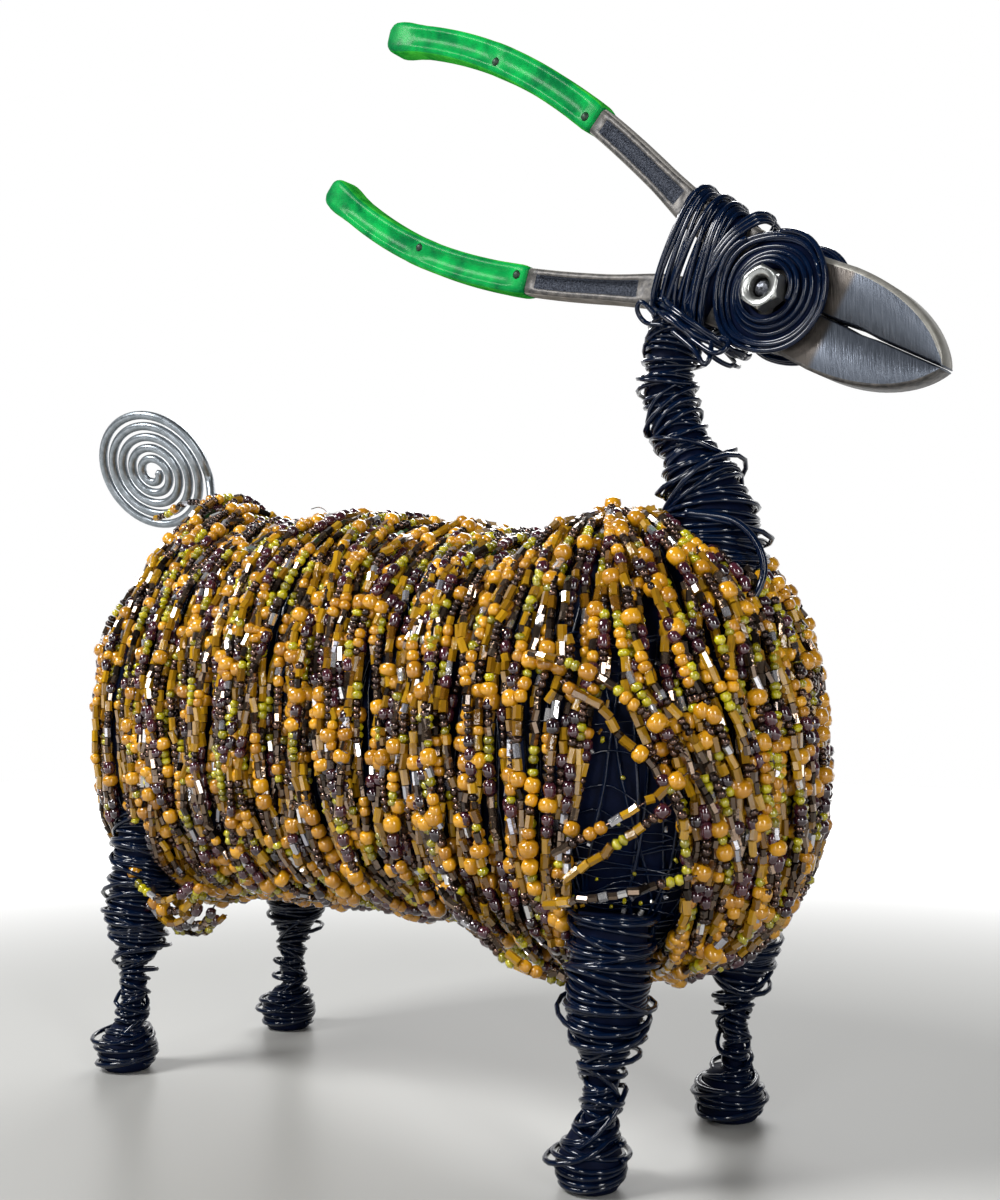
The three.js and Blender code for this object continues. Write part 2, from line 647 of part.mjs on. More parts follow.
const goat = new THREE.Group();
const head = new THREE.Group();
head.position.set(PIVOT_X, 0, PIVOT_Z);
head.rotation.y = HEAD_SLOPE;
goat.add(head);

function place(parent, name, geometry, material) {
  const mesh = new THREE.Mesh(geometry, material);
  mesh.name = name;
  parent.add(mesh);
  return mesh;
}

const lever = leverGeometry();
const grip = gripGeometry();
place(head, 'pliers_lever_upper', lever, steel);
place(head, 'pliers_lever_lower', lever, steel).rotation.x = Math.PI;
place(head, 'grip_upper', grip, greenVinyl);
place(head, 'grip_lower', grip, greenVinyl).rotation.x = Math.PI;
place(head, 'pivot_stud', studGeometry(), zinc);
for (const [side, turn] of [['right', Math.PI], ['left', 0]]) {
  const eye = new THREE.Group();
  eye.rotation.x = turn;
  head.add(eye);
  place(eye, `eye_coil_${side}`, coilGeometry(), blackWire).position.y = JAW_HALF_T + GAP;
  const nut = place(eye, `eye_nut_${side}`, nutGeometry(), zinc);
  nut.position.y = JAW_HALF_T + GAP + COIL_T + GAP;
  nut.rotation.y = (turn > 0 ? -1 : 1) * (NUT_TURN - HEAD_SLOPE);
}
place(head, 'head_lashing', lashingGeometry(), blackWire);

head.updateMatrixWorld(true);
const inHead = (geometry) => toSolid(geometry.applyMatrix4(head.matrixWorld));
const trunkSkin = -BEAD_D;
const trunk = bodySkin(5, 4, 3, SKIN_ROWS, trunkSkin, 0);
const trunkClear = toSolid(bodySkin(5, 4, 3, SKIN_ROWS, trunkSkin + GAP, 0));
const tailClear = toSolid(tailGeometry(GAP));
let fleece = toSolid(bodySkin(15, 11, 8, SKIN_ROWS, 0, RIDGE_DEPTH)).subtract(trunkClear);
for (const [name, leg] of Object.entries(LEGS)) {
  place(goat, name, toGeometry(toSolid(legGeometry(leg)).subtract(trunkClear)), blackWire);
  fleece = fleece.subtract(toSolid(legSleeve(leg)));
}
fleece = fleece.subtract(toSolid(neckSleeve())).subtract(shoulderCutter()).subtract(tailClear);
const leverClear = inHead(handleGeometry(GAP).rotateX(Math.PI));
const neck = toSolid(neckGeometry()).subtract(trunkClear).subtract(inHead(lashingHull(GAP))).subtract(leverClear);
place(goat, 'neck_winding', toGeometry(neck), blackWire);
place(goat, 'trunk_winding', trunk, blackWire);
place(goat, 'bead_fleece', toGeometry(fleece), beads);
for (const [name, ends] of Object.entries(LOOSE_STRANDS)) place(goat, name, strandGeometry(ends), beads);
place(goat, 'tail_spiral', toGeometry(toSolid(tailGeometry(0)).subtract(trunkClear)), brightWire);

// The origin goes to the middle of the whole goat's box, on the ground
const box = new THREE.Box3().setFromObject(goat, true);
goat.position.set(-(box.min.x + box.max.x) / 2, -(box.min.y + box.max.y) / 2, -box.min.z);

export default goat;
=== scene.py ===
import math

import bpy
import numpy as np
from mathutils import Matrix, Vector


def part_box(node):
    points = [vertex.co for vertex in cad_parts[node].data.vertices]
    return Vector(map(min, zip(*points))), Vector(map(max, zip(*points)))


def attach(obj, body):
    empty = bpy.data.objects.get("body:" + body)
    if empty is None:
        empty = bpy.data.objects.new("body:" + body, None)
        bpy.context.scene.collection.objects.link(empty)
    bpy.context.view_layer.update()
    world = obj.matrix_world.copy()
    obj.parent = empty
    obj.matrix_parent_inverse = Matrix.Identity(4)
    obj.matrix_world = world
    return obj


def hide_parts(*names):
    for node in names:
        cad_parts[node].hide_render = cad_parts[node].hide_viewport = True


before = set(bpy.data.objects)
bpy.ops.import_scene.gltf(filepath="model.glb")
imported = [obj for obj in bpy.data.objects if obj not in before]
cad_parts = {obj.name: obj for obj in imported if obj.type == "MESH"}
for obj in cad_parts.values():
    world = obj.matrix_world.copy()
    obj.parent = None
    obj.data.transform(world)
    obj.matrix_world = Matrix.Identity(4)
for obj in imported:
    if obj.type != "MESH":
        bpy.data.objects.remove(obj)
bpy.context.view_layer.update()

MM = 0.001
TINY = 1e-9
SLANT, BEAD_SLANT = (0.3, 0.5, 0.8), (0.31, 0.47, 0.83)
TUBE_END = 0.6
PIVOT = np.array([101.5, 0.0, 177.0])
stud_low, stud_high = (np.array(corner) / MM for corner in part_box("pivot_stud"))
OFFSET = (stud_low + stud_high) / 2 - PIVOT

# Trunk and fleece, as in the solids. A name ending in GROW says how far a strand lies outside that skin.
RUMP_X, WITHERS_X = -66.0, 60.0
RUMP_CAP, CHEST_CAP = 27.5, 45.0
FLEECE_HALF_W, WAIST_IN = 40.5, 2.0
SADDLE_X, SADDLE_Z, BACK_RISE, LOIN_X = 42.0, 131.0, 9.5, -25.0
RUMP_RISE, WITHERS_RISE = 7.0, 6.0
BELLY_Z, CHEST_DROP, GROIN_DROP = 45.0, 9.0, 4.0
RUMP_RISE_X, RUMP_SQUARE_X, CHEST_DROP_X, GROIN_DROP_X = LOIN_X - 13, -20.0, 25.0, -40.0
TOP_SQUARENESS, RUMP_SQUARENESS, LOW_SQUARENESS = 2.25, 1.65, 2.7
MOUND_X, MOUND_H, MOUND_SPREAD = -73.0, 5.0, 9.0
GAP_MIDDLE, GAP_FROM, GAP_TO = -60.0, -95.0, -12.0
GAP_EDGES = [(54, -74, -39), (67, -70, -40), (75, -67, -43), (86, -66, -51), (94, -65, -57), (99, -60, -60)]

# Legs, neck, head and tail, as in the solids, with the turns of wire that lie on them
FOOT_X, FOOT_Y, FOOT_FLAT_R, FOOT_R, FOOT_H = 71.5, 28.3, 4.8, 7.7, 11.0
THIGH_R, THIGH_TOP_R, LEG_TOP_Z, LEG_LEAN_IN = 8.6, 7.5, 84.0, 5.0
LEGS = {
    "leg_front_right": dict(x=FOOT_X, y=-FOOT_Y, bow=5.0, ankle_z=20.0, ankle_r=5.0, foot=0.9),
    "leg_front_left": dict(x=FOOT_X, y=FOOT_Y, bow=4.0, ankle_z=24.0, ankle_r=4.4, foot=1.0),
    "leg_rear_right": dict(x=-FOOT_X, y=-FOOT_Y, bow=4.0, ankle_z=24.0, ankle_r=4.6, foot=0.97),
    "leg_rear_left": dict(x=-FOOT_X, y=FOOT_Y, bow=3.0, ankle_z=22.0, ankle_r=4.8, foot=1.0),
}
LEG_BENDS, LEG_BOWS, LEG_LEANS = (0.425, 0.654), [0.3, 0.5, 0.9, 1.1, 1.2], [0, 0, 0, 0.2, 1]
NECK_BASE, NECK_TOP = (84.0, 118.0), (76.9, 182.0)
NECK_BENDS = [(0.25, -1.4), (0.39, 0.6), (0.52, 3.7), (0.68, 5.4)]
NECK_BASE_R, NECK_R = 11.4, 6.1
NECK_LOOSE_WIRE = [(84, -11, 133), (93, -8, 131), (98, -7, 126), (99.5, -7, 120), (97.5, -9, 114),
                   (94, -14, 110)]
HEAD_SLOPE = math.radians(30.6)
JAW_L, JAW_HALF_W, JAW_WIDEST, JAW_HALF_T, JAW_TIP_HALF_T = 38.7, 10.9, 14.0, 4.7, 2.9
JAW_GAP_AT, JAW_GAP_SPREAD, FORGED_TO = 20, 2.6, (13.8, 15.4)
JAW_BEVEL, EDGE_BEVEL, BOSS_R, ROOT_FROM, ROOT_INNER, ROOT_SPREAD = 1.5, 0.5, 11.0, 6.0, 0.6, 0.55
HANDLE_L, HANDLE_SPREAD, HANDLE_SPREAD_AT, HANDLE_BEND, HANDLE_ROOT = 137.5, 24.6, 103.0, 1.12, 27.0
HANDLE_HALF_W, HANDLE_HALF_T, HANDLE_CHAMFER, POCKET_DEPTH = 3.1, 2.8, 0.9, 1.1
GRIP_FROM, GRIP_WALL, GRIP_DIP, GRIP_PITS, GRIP_PIT_R = 63.0, 1.1, 0.45, (66.0, 98.5), 1.05
TANG_HALF_W, TANG_HALF_T = 2.5, 2.2
STUD_R, NUT_ACROSS, NUT_FACE_R, NUT_T, NUT_TURN = 2.0, 8.0, 4.1, 4.0, math.radians(8)
EYE_BACK, COIL_R, COIL_T, COIL_CORNERS = 5.0, 13.0, 2.2, [(158, 0.13, 30), (75, 0.04, 25), (250, 0.05, 25)]
NUT_BACK = EYE_BACK + COIL_T + 0.3
COIL_INNER_R, COIL_DOME, COIL_TURNS, COIL_TIGHT = 5.35, 2.6, 5.6, 3.2
COIL_LOOPS = [(1.2, 10.9, 0.1, 1.15), (1.6, 12.1, 0.4, 1.3)]
COIL_CORE = [(4.9, 0), (11.2, 0), (11.2, 0.5), (8.0, 1.4), (4.9, 2.4), (4.9, 0)]
WIRE_R = 0.56
LASHING_FROM, LASHING_TO, LASHING_HALF_W, LASHING_END_HALF_W, LASHING_HALF_T = 13.5, 28.5, 13.3, 14.9, 7.4
LASHING_SLANT, LASHING_SQUARENESS, LASHING_COUNTS, LASHING_LAYER = 0.13, 3.2, (8, 6, 3), 0.55
COIL_HUGGING_TURNS = [(14.4, 12.9), (15.3, 13.4), (16.0, 14.1)]
LOOPS_FROM, LOOPS_TO, LOW_LOOPS = (72.6, 180.6), (91.4, 166.6), 6
LASHING_CORE = [(13.2, 9.0, 4.0), (13.6, 11.4, 5.6), (15.5, 11.9, 5.8), (17.4, 11.9, 5.6), (17.8, 9.5, 4.2)]
LASHING_HOOKS = [
    [(80, -8.6, 172), (85.5, -9.4, 167), (87.6, -9.2, 163.6), (88.8, -8.6, 165.2), (88, -6.5, 170)],
    [(76, -8.8, 176), (73.2, -9.6, 179.2), (71.4, -8.8, 178), (72.6, -7.6, 175.4), (77, -7.4, 174)],
    [(84, -8.8, 170), (90, -9.6, 165.6), (92.8, -8.8, 166.4), (91.6, -7.0, 168.6), (87, -6.0, 170)],
]
TAIL_WIRE_R, TAIL_R, TAIL_TURNS, TAIL_INNER_R = 1.25, 18.6, 5, 1.9
TAIL_CENTRE, TAIL_YAW, TAIL_TILT = (-101.5, 0.0, 161.3), math.radians(14), math.radians(-29)
TAIL_ROOT = (-74.0, 0.0, 138.0)


def smooth(x, start, end):
    """0 before start, 1 past end and an even ease between them."""
    t = np.clip((np.asarray(x, float) - start) / (end - start), 0, 1)
    return t * t * (3 - 2 * t)


def mix(a, b, t):
    return a + (b - a) * t


def unit(v):
    return v / np.maximum(np.linalg.norm(v, axis=-1, keepdims=True), TINY)


def wobble(rng, t, period, terms=4):
    """Smooth noise along t, about -1 to 1, with waves near one period long."""
    total = np.zeros_like(t, dtype=float)
    for _ in range(terms):
        wave = 2 * math.pi / (period * rng.uniform(0.6, 1.8))
        total += np.sin(wave * t + rng.uniform(0, 2 * math.pi)) * rng.uniform(0.5, 1)
    return total / (0.55 * terms)


def put(name, data):
    obj = bpy.data.objects.new(name, data)
    bpy.context.scene.collection.objects.link(obj)
    return obj


class Shape:
    """Points and faces gathered into one mesh."""

    def __init__(self):
        self.points, self.faces, self.count = [], [], 0

    def add_parts(self, points, parts):
        """Points shared by groups of faces; each group has its faces, material and whether it is flat."""
        points = np.asarray(points, float).reshape(-1, 3)
        for corners, material, flat in parts:
            corners = np.asarray(corners, int)
            if len(corners):
                self.faces.append((corners + self.count, material, not flat))
        self.points.append(points)
        self.count += len(points)

    def add(self, points, faces, material=0, flat=False):
        self.add_parts(points, [(corners, material, flat) for corners in faces])

    def piece(self, name, materials, slot, *nodes):
        points = (np.concatenate(self.points) + OFFSET) * MM
        mesh = bpy.data.meshes.new(name)
        mesh.vertices.add(len(points))
        mesh.vertices.foreach_set("co", points.astype(np.float32).ravel())
        loops = np.concatenate([f.ravel() for f, _, _ in self.faces])
        sizes = np.concatenate([np.full(len(f), f.shape[1]) for f, _, _ in self.faces])
        mesh.loops.add(len(loops))
        mesh.loops.foreach_set("vertex_index", loops.astype(np.int32))
        mesh.polygons.add(len(sizes))
        starts = np.concatenate([[0], np.cumsum(sizes)[:-1]])
        mesh.polygons.foreach_set("loop_start", starts.astype(np.int32))
        for field, column in (("material_index", 1), ("use_smooth", 2)):
            values = np.concatenate([np.full(len(f[0]), f[column]) for f in self.faces])
            mesh.polygons.foreach_set(field, values)
        mesh.update(calc_edges=True)
        mesh.validate()
        for material in materials:
            mesh.materials.append(material)
        obj = put(name, mesh)
        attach(obj, "root")
        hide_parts(*nodes)


def to_goat(points):
    """From the head's own frame, +X along the jaws from the pivot, to the goat's."""
    p = np.asarray(points, float)
    c, s = math.cos(HEAD_SLOPE), math.sin(HEAD_SLOPE)
    return np.stack([c * p[..., 0] + s * p[..., 2], p[..., 1], -s * p[..., 0] + c * p[..., 2]], -1) + PIVOT


def round_angles(sides):
    return 2 * np.pi * np.arange(sides) / sides


def hoop(radius, y, angle):
    """Points round the Y axis at distance y along it."""
    return np.stack(np.broadcast_arrays(radius * np.cos(angle), y, radius * np.sin(angle)), -1)


def around(across, up, angle):
    """Unit directions at angles from across towards up, a row for each point of a line."""
    return across[:, None] * np.cos(angle)[..., None] + up[:, None] * np.sin(angle)[..., None]


def two_across(along):
    """Two directions across each of those in along, which don't run along Y."""
    across = unit(np.cross(np.broadcast_to([0.0, 1.0, 0.0], along.shape), along))
    return across, np.cross(along, across)


def skin_faces(rows, sides):
    """Faces of a skin over rows of equally many points."""
    r = np.arange(rows - 1)[:, None]
    s = np.arange(sides)[None, :]
    a, b = r * sides + s, r * sides + (s + 1) % sides
    return np.stack([a, b, b + sides, a + sides], -1).reshape(-1, 4)


def fans(rows, sides):
    """Triangles from one middle point to each end ring; the two middle points come after all rings."""
    s = np.arange(sides)
    n = (s + 1) % sides
    last, middle = (rows - 1) * sides, rows * sides
    first = np.stack([np.full(sides, middle), n, s], -1)
    final = np.stack([np.full(sides, middle + 1), last + s, last + n], -1)
    return np.concatenate([first, final])


def with_middles(rings):
    """The rings' points and, after them, the middle points of both end rings."""
    return np.concatenate([rings.reshape(-1, 3), [rings[0].mean(0), rings[-1].mean(0)]])


def add_loft(shape, rings, material=0, to=None):
    rings = np.asarray(rings, float)
    rows, sides = rings.shape[:2]
    points = with_middles(rings)
    shape.add(to(points) if to else points, [skin_faces(rows, sides), fans(rows, sides)], material)


def add_tube(shape, path, radius, sides=6, outward=None, material=0):
    """Round wire along a path. outward is a direction, or one a point, that never runs along the path."""
    path = np.asarray(path, float)
    along = unit(np.gradient(path, axis=0))
    if outward is None:
        across = np.zeros_like(path)
        start = np.cross(along[0], SLANT)
        across[0] = start / np.linalg.norm(start)
        for i in range(1, len(path)):
            across[i] = across[i - 1] - along[i] * (across[i - 1] @ along[i])
            across[i] /= max(np.linalg.norm(across[i]), TINY)
    else:
        outward = np.asarray(outward, float)
        across = unit(outward - along * (outward * along).sum(-1, keepdims=True))
    turn = around(across, np.cross(along, across), round_angles(sides))
    rings = path[:, None] + turn * radius
    ends = [path[0] - along[0] * radius * TUBE_END, path[-1] + along[-1] * radius * TUBE_END]
    points = np.concatenate([rings.reshape(-1, 3), ends])
    shape.add(points, [skin_faces(len(path), sides), fans(len(path), sides)], material)


def path_run(path):
    """How far each point of a path lies along it."""
    return np.concatenate([[0], np.cumsum(np.linalg.norm(np.diff(path, axis=0), axis=1))])


def at_run(at, run, path):
    """Points of a path at distances along it."""
    return np.stack([np.interp(at, run, path[:, k]) for k in range(3)], -1)


def sample_curve(points, count):
    """Even samples on a smooth curve through points."""
    p = np.asarray(points, float)
    padded = np.concatenate([[2 * p[0] - p[1]], p, [2 * p[-1] - p[-2]]])
    t = np.linspace(0, 1, 24, endpoint=False)[:, None]
    out = []
    for i in range(len(p) - 1):
        a, b, c, d = padded[i:i + 4]
        square, cube = 2 * a - 5 * b + 4 * c - d, 3 * b - a - 3 * c + d
        out.append(0.5 * (2 * b + (c - a) * t + square * t**2 + cube * t**3))
    path = np.concatenate(out + [p[-1:]])
    run = path_run(path)
    return at_run(np.linspace(0, run[-1], count), run, path)


def set_inputs(node, **values):
    for key, value in values.items():
        node.inputs[key.replace("_", " ")].default_value = value


def new_material(name, **values):
    material = bpy.data.materials.new(name)
    material.use_nodes = True
    shader = material.node_tree.nodes["Principled BSDF"]
    set_inputs(shader, **values)
    return material, material.node_tree, shader


def ramp(tree, factor, stops):
    """Colours at places from 0 to 1 of a factor."""
    node = tree.nodes.new("ShaderNodeValToRGB")
    elements = node.color_ramp.elements
    while len(elements) < len(stops):
        elements.new(0.5)
    for element, (at, colour) in zip(elements, stops):
        element.position = at
        element.color = (*colour, 1)
    tree.links.new(factor, node.inputs["Fac"])
    return node.outputs["Color"]


def map_range(tree, value, eased=False, **inputs):
    node = tree.nodes.new("ShaderNodeMapRange")
    if eased:
        node.interpolation_type = "SMOOTHSTEP"
    set_inputs(node, **inputs)
    tree.links.new(value, node.inputs["Value"])
    return node.outputs["Result"]


def noise(tree, scale, detail=3.0, stretch=None, turn=0.0):
    """Noise in metres; stretch scales it along X, Y and Z after a turn about Y."""
    coordinates = tree.nodes.new("ShaderNodeTexCoord").outputs["Object"]
    if stretch:
        mapping = tree.nodes.new("ShaderNodeMapping")
        set_inputs(mapping, Rotation=(0, turn, 0), Scale=stretch)
        tree.links.new(coordinates, mapping.inputs["Vector"])
        coordinates = mapping.outputs["Vector"]
    texture = tree.nodes.new("ShaderNodeTexNoise")
    set_inputs(texture, Scale=scale, Detail=detail)
    tree.links.new(coordinates, texture.inputs["Vector"])
    return texture.outputs["Fac"]


def bump(tree, shader, height, strength, distance):
    node = tree.nodes.new("ShaderNodeBump")
    set_inputs(node, Strength=strength, Distance=distance)
    tree.links.new(height, node.inputs["Height"])
    tree.links.new(node.outputs["Normal"], shader.inputs["Normal"])


def paint(tree, shader, factor, stops):
    tree.links.new(ramp(tree, factor, stops), shader.inputs["Base Color"])


def bead_material(name, low, high, rough, **values):
    """Glass or metal beads, each a little different in colour."""
    material, tree, shader = new_material(name, Roughness=rough, Coat_IOR=1.6, Coat_Roughness=0.04, **values)
    each = tree.nodes.new("ShaderNodeNewGeometry").outputs["Random Per Island"]
    paint(tree, shader, each, [(0.0, low), (1.0, high)])
    bump(tree, shader, noise(tree, 900), 0.25, 0.0003)
    return material


def wire_material(name, low, high, rough, metal, **values):
    material, tree, shader = new_material(name, Metallic=metal, **values)
    paint(tree, shader, noise(tree, 500), [(0.35, low), (0.75, high)])
    spread = map_range(tree, noise(tree, 220), To_Min=rough - 0.05, To_Max=rough + 0.08)
    tree.links.new(spread, shader.inputs["Roughness"])
    bump(tree, shader, noise(tree, 1500), 0.15, 0.0002)
    return material


def jaw_material():
    """Ground blue-grey steel, fine lines across the jaws, a brown forged band next to the joint."""
    material, tree, shader = new_material("jaw_steel", Metallic=0.7)
    lines = noise(tree, 60, 6.0, (60.0, 60.0, 4.0), -HEAD_SLOPE)
    ground = ramp(tree, lines, [(0.25, (0.06, 0.07, 0.09)), (0.5, (0.085, 0.098, 0.122)),
                                (0.8, (0.13, 0.145, 0.175))])
    forged = ramp(tree, noise(tree, 260, 4.0), [(0.3, (0.05, 0.044, 0.04)), (0.7, (0.115, 0.10, 0.088))])
    mapping = tree.nodes.new("ShaderNodeMapping")
    mapping.vector_type = "TEXTURE"
    set_inputs(mapping, Location=tuple((PIVOT + OFFSET) * MM), Rotation=(0, HEAD_SLOPE, 0))
    tree.links.new(tree.nodes.new("ShaderNodeTexCoord").outputs["Object"], mapping.inputs["Vector"])
    split = tree.nodes.new("ShaderNodeSeparateXYZ")
    tree.links.new(mapping.outputs["Vector"], split.inputs["Vector"])
    blend = tree.nodes.new("ShaderNodeMix")
    blend.data_type = "RGBA"
    band = map_range(tree, split.outputs["X"], True, From_Min=FORGED_TO[0] * MM, From_Max=FORGED_TO[1] * MM)
    tree.links.new(band, blend.inputs["Factor"])
    tree.links.new(forged, blend.inputs["A"])
    tree.links.new(ground, blend.inputs["B"])
    tree.links.new(blend.outputs["Result"], shader.inputs["Base Color"])
    tree.links.new(map_range(tree, lines, To_Min=0.32, To_Max=0.52), shader.inputs["Roughness"])
    bump(tree, shader, lines, 0.3, 0.0004)
    return material


def cast_material(name, low, high, scale, strength, rough, metal, **values):
    material, tree, shader = new_material(name, Metallic=metal, Roughness=rough, **values)
    grain = noise(tree, scale, 6.0)
    paint(tree, shader, grain, [(0.36, low), (0.68, high)])
    bump(tree, shader, grain, strength, 0.0006)
    return material


def grip_material(name, low, high, strength, gloss):
    material, tree, shader = new_material(name, Roughness=0.5, Specular_IOR_Level=0.6 * gloss,
                                          Coat_Weight=gloss, Coat_Roughness=0.2)
    paint(tree, shader, noise(tree, 180, 5.0), [(0.36, low), (0.66, high)])
    bump(tree, shader, noise(tree, 420, 4.0), strength, 0.0008)
    return material


mustard = bead_material("mustard_beads", (0.38, 0.155, 0.003), (0.68, 0.32, 0.006), 0.2, Coat_Weight=0.7)
amber = bead_material("amber_tubes", (0.18, 0.072, 0.002), (0.68, 0.37, 0.010), 0.06,
                      Coat_Weight=1.0, Transmission_Weight=0.35)
bronze = bead_material("bronze_tubes", (0.024, 0.014, 0.009), (0.32, 0.225, 0.155), 0.1,
                       Metallic=0.9, Coat_Weight=0.4)
chartreuse = bead_material("chartreuse_seeds", (0.24, 0.20, 0.001), (0.76, 0.66, 0.006), 0.05,
                           Coat_Weight=1.0, Transmission_Weight=0.35)
aubergine = bead_material("aubergine_barrels", (0.010, 0.002, 0.005), (0.065, 0.011, 0.020), 0.07,
                          Coat_Weight=1.0)
dark_seed = bead_material("dark_seeds", (0.02, 0.010, 0.008), (0.14, 0.078, 0.054), 0.12,
                          Metallic=0.85, Coat_Weight=0.4)
clear = bead_material("clear_bugles", (0.45, 0.45, 0.52), (0.9, 0.88, 0.86), 0.1, Metallic=0.8)
BEAD_MATERIALS = [mustard, amber, bronze, chartreuse, aubergine, dark_seed, clear]

black_wire = wire_material("black_wire", (0.0003, 0.0032, 0.014), (0.0008, 0.0064, 0.025), 0.12, 0.0,
                           Specular_IOR_Level=0.26, Coat_Weight=0.25, Coat_Roughness=0.05)
black_core = wire_material("black_core", (0.0006, 0.0025, 0.013), (0.0012, 0.0045, 0.022), 0.6, 0.0,
                           Specular_IOR_Level=0.08)
tail_wire = wire_material("tail_wire", (0.20, 0.225, 0.245), (0.34, 0.37, 0.40), 0.36, 0.9)
zinc = wire_material("zinc", (0.28, 0.29, 0.28), (0.44, 0.445, 0.43), 0.28, 0.9)
jaw_steel = jaw_material()
bevel_steel = cast_material("bevel_steel", (0.26, 0.25, 0.22), (0.38, 0.365, 0.33), 400, 0.1, 0.42, 0.6)
# Dark steel of the handles' rims and boss, also put on the lower jaw's downward bevel as painted shade.
rim_and_bevel_shade_steel = cast_material("rim_and_bevel_shade_steel", (0.05, 0.048, 0.048), (0.13, 0.12, 0.11), 700, 0.2, 0.5, 0.5)
side_steel = cast_material("side_steel", (0.20, 0.19, 0.175), (0.30, 0.285, 0.265), 300, 0.05, 0.6, 0.0,
                           Specular_IOR_Level=0.0)
# Near-black steel: the handles' dark cast pockets, and painted shade on the jaws' faces along the mouth slit.
trough_and_slit_shade_steel = cast_material("trough_and_slit_shade_steel", (0.004, 0.007, 0.016), (0.04, 0.048, 0.068), 1900, 0.9,
                             0.55, 0.4)
grip_face = grip_material("grip_face", (0.0, 0.12, 0.030), (0.002, 0.32, 0.058), 0.4, 0.07)
# Lighter yellow-green on the sleeves' narrow sides: a painted sheen at the vinyl's edges.
grip_edge_sheen = grip_material("grip_edge_sheen", (0.008, 0.22, 0.024), (0.045, 0.44, 0.040), 0.1, 0.0)
# Near-black green for the grips' pits: painted shade inside the pits.
grip_pit_shade = cast_material("grip_pit_shade", (0.0, 0.012, 0.004), (0.002, 0.04, 0.012), 900, 0.3, 0.5, 0.0)
# Dark steel for the pivot stud, whose finish is zinc: painted shade of the nut bores it sits in.
stud_bore_shade = cast_material("stud_bore_shade", (0.03, 0.032, 0.038), (0.12, 0.125, 0.14), 900, 0.4, 0.25, 0.9)


def spine_top(x):
    along = np.clip((SADDLE_X - x) / (SADDLE_X - LOIN_X), 0, 1)
    return (SADDLE_Z + BACK_RISE * np.sin(0.5 * np.pi * along) + RUMP_RISE * smooth(x, RUMP_RISE_X, RUMP_X)
            + WITHERS_RISE * smooth(x, SADDLE_X, WITHERS_X))


def spine_belly(x):
    return (BELLY_Z - CHEST_DROP * smooth(x, CHEST_DROP_X, WITHERS_X)
            - GROIN_DROP * smooth(x, GROIN_DROP_X, RUMP_X))


def skin(x, direction, down, grow):
    """Points of the body's skin, from the spine's x, plan direction in radians and share of the way down."""
    given = [np.asarray(v, float) for v in (x, direction, down, grow)]
    x, direction, down, grow = np.broadcast_arrays(*given)
    top, belly = spine_top(x) + grow, spine_belly(x) - grow
    middle = (top + belly) / 2
    angle = np.pi * (0.5 - np.clip(down, 0, 1))
    top_square = mix(TOP_SQUARENESS, RUMP_SQUARENESS, smooth(x, RUMP_SQUARE_X, RUMP_X))
    square = np.where(angle > 0, top_square, LOW_SQUARENESS)
    reach = np.abs(np.cos(angle)) ** (2 / square)
    lift = np.sign(angle) * np.abs(np.sin(angle)) ** (2 / square)
    forward, side = np.cos(direction), np.sin(direction)
    cap = np.where(forward > 1e-6, CHEST_CAP, RUMP_CAP) + grow
    half_w = FLEECE_HALF_W - WAIST_IN * np.cos(0.5 * np.pi * np.clip(x / WITHERS_X, -1, 1)) + grow
    radius = reach / np.hypot(forward / cap, side / half_w)
    p = np.stack([x + radius * forward, radius * side, middle + (top - middle) * lift], -1)
    near = np.hypot(p[..., 0] - MOUND_X, p[..., 1]) / MOUND_SPREAD
    p[..., 2] += np.where(angle > 0, MOUND_H * np.exp(-0.5 * near * near), 0)
    return p


def part_at_gap(direction, z):
    """Directions pushed to either side of the opening at the right shoulder."""
    heights, left, right = np.array(GAP_EDGES, float).T
    bearing = np.degrees(direction)
    if bearing[len(bearing) // 2] > GAP_MIDDLE:
        share = np.clip((bearing - GAP_MIDDLE) / (GAP_TO - GAP_MIDDLE), 0, None)
        edge, end = np.interp(z, heights, right), GAP_TO
    else:
        share = np.clip((GAP_MIDDLE - bearing) / (GAP_MIDDLE - GAP_FROM), 0, None)
        edge, end = np.interp(z, heights, left), GAP_FROM
    return np.where(share < 1, np.radians(mix(edge, end, share)), direction)


# Beads: a profile of (along, radius) shares, sides, length and width in millimetres, flat faces or round
ROUND = [(-0.4, 0.0), (-0.47, 0.48), (-0.31, 0.89), (0.0, 1.0), (0.31, 0.89), (0.47, 0.48), (0.4, 0.0)]
SEED = [(-0.47, 0.0), (-0.5, 0.62), (-0.26, 0.97), (0.26, 0.97), (0.5, 0.62), (0.47, 0.0)]
SMALL = [(-0.47, 0.0), (-0.46, 0.72), (0.0, 1.04), (0.46, 0.72), (0.47, 0.0)]
TUBE = [(-0.5, 0.0), (-0.5, 0.98), (0.5, 0.98), (0.5, 0.0)]
KINDS = {
    # name: (profile, sides, material, flat, length range, width range, share, longest run)
    "mustard_large": (ROUND, 8, 0, False, (2.9, 3.9), (3.5, 4.3), 0.085, 1),
    "mustard_small": (SEED, 7, 0, False, (1.9, 2.5), (2.5, 3.0), 0.075, 2),
    "amber": (TUBE, 6, 1, True, (1.6, 3.4), (1.7, 2.1), 0.21, 2),
    "bronze": (TUBE, 6, 2, True, (1.4, 2.4), (1.45, 1.85), 0.25, 2),
    "chartreuse": (SMALL, 6, 3, False, (1.4, 1.9), (2.0, 2.6), 0.13, 2),
    "aubergine": (SEED, 7, 4, False, (2.0, 3.3), (2.5, 3.1), 0.10, 2),
    "dark": (SMALL, 6, 5, False, (1.2, 1.7), (1.8, 2.4), 0.16, 3),
    "clear": (TUBE, 6, 6, True, (1.6, 3.4), (1.4, 1.8), 0.055, 1),
}
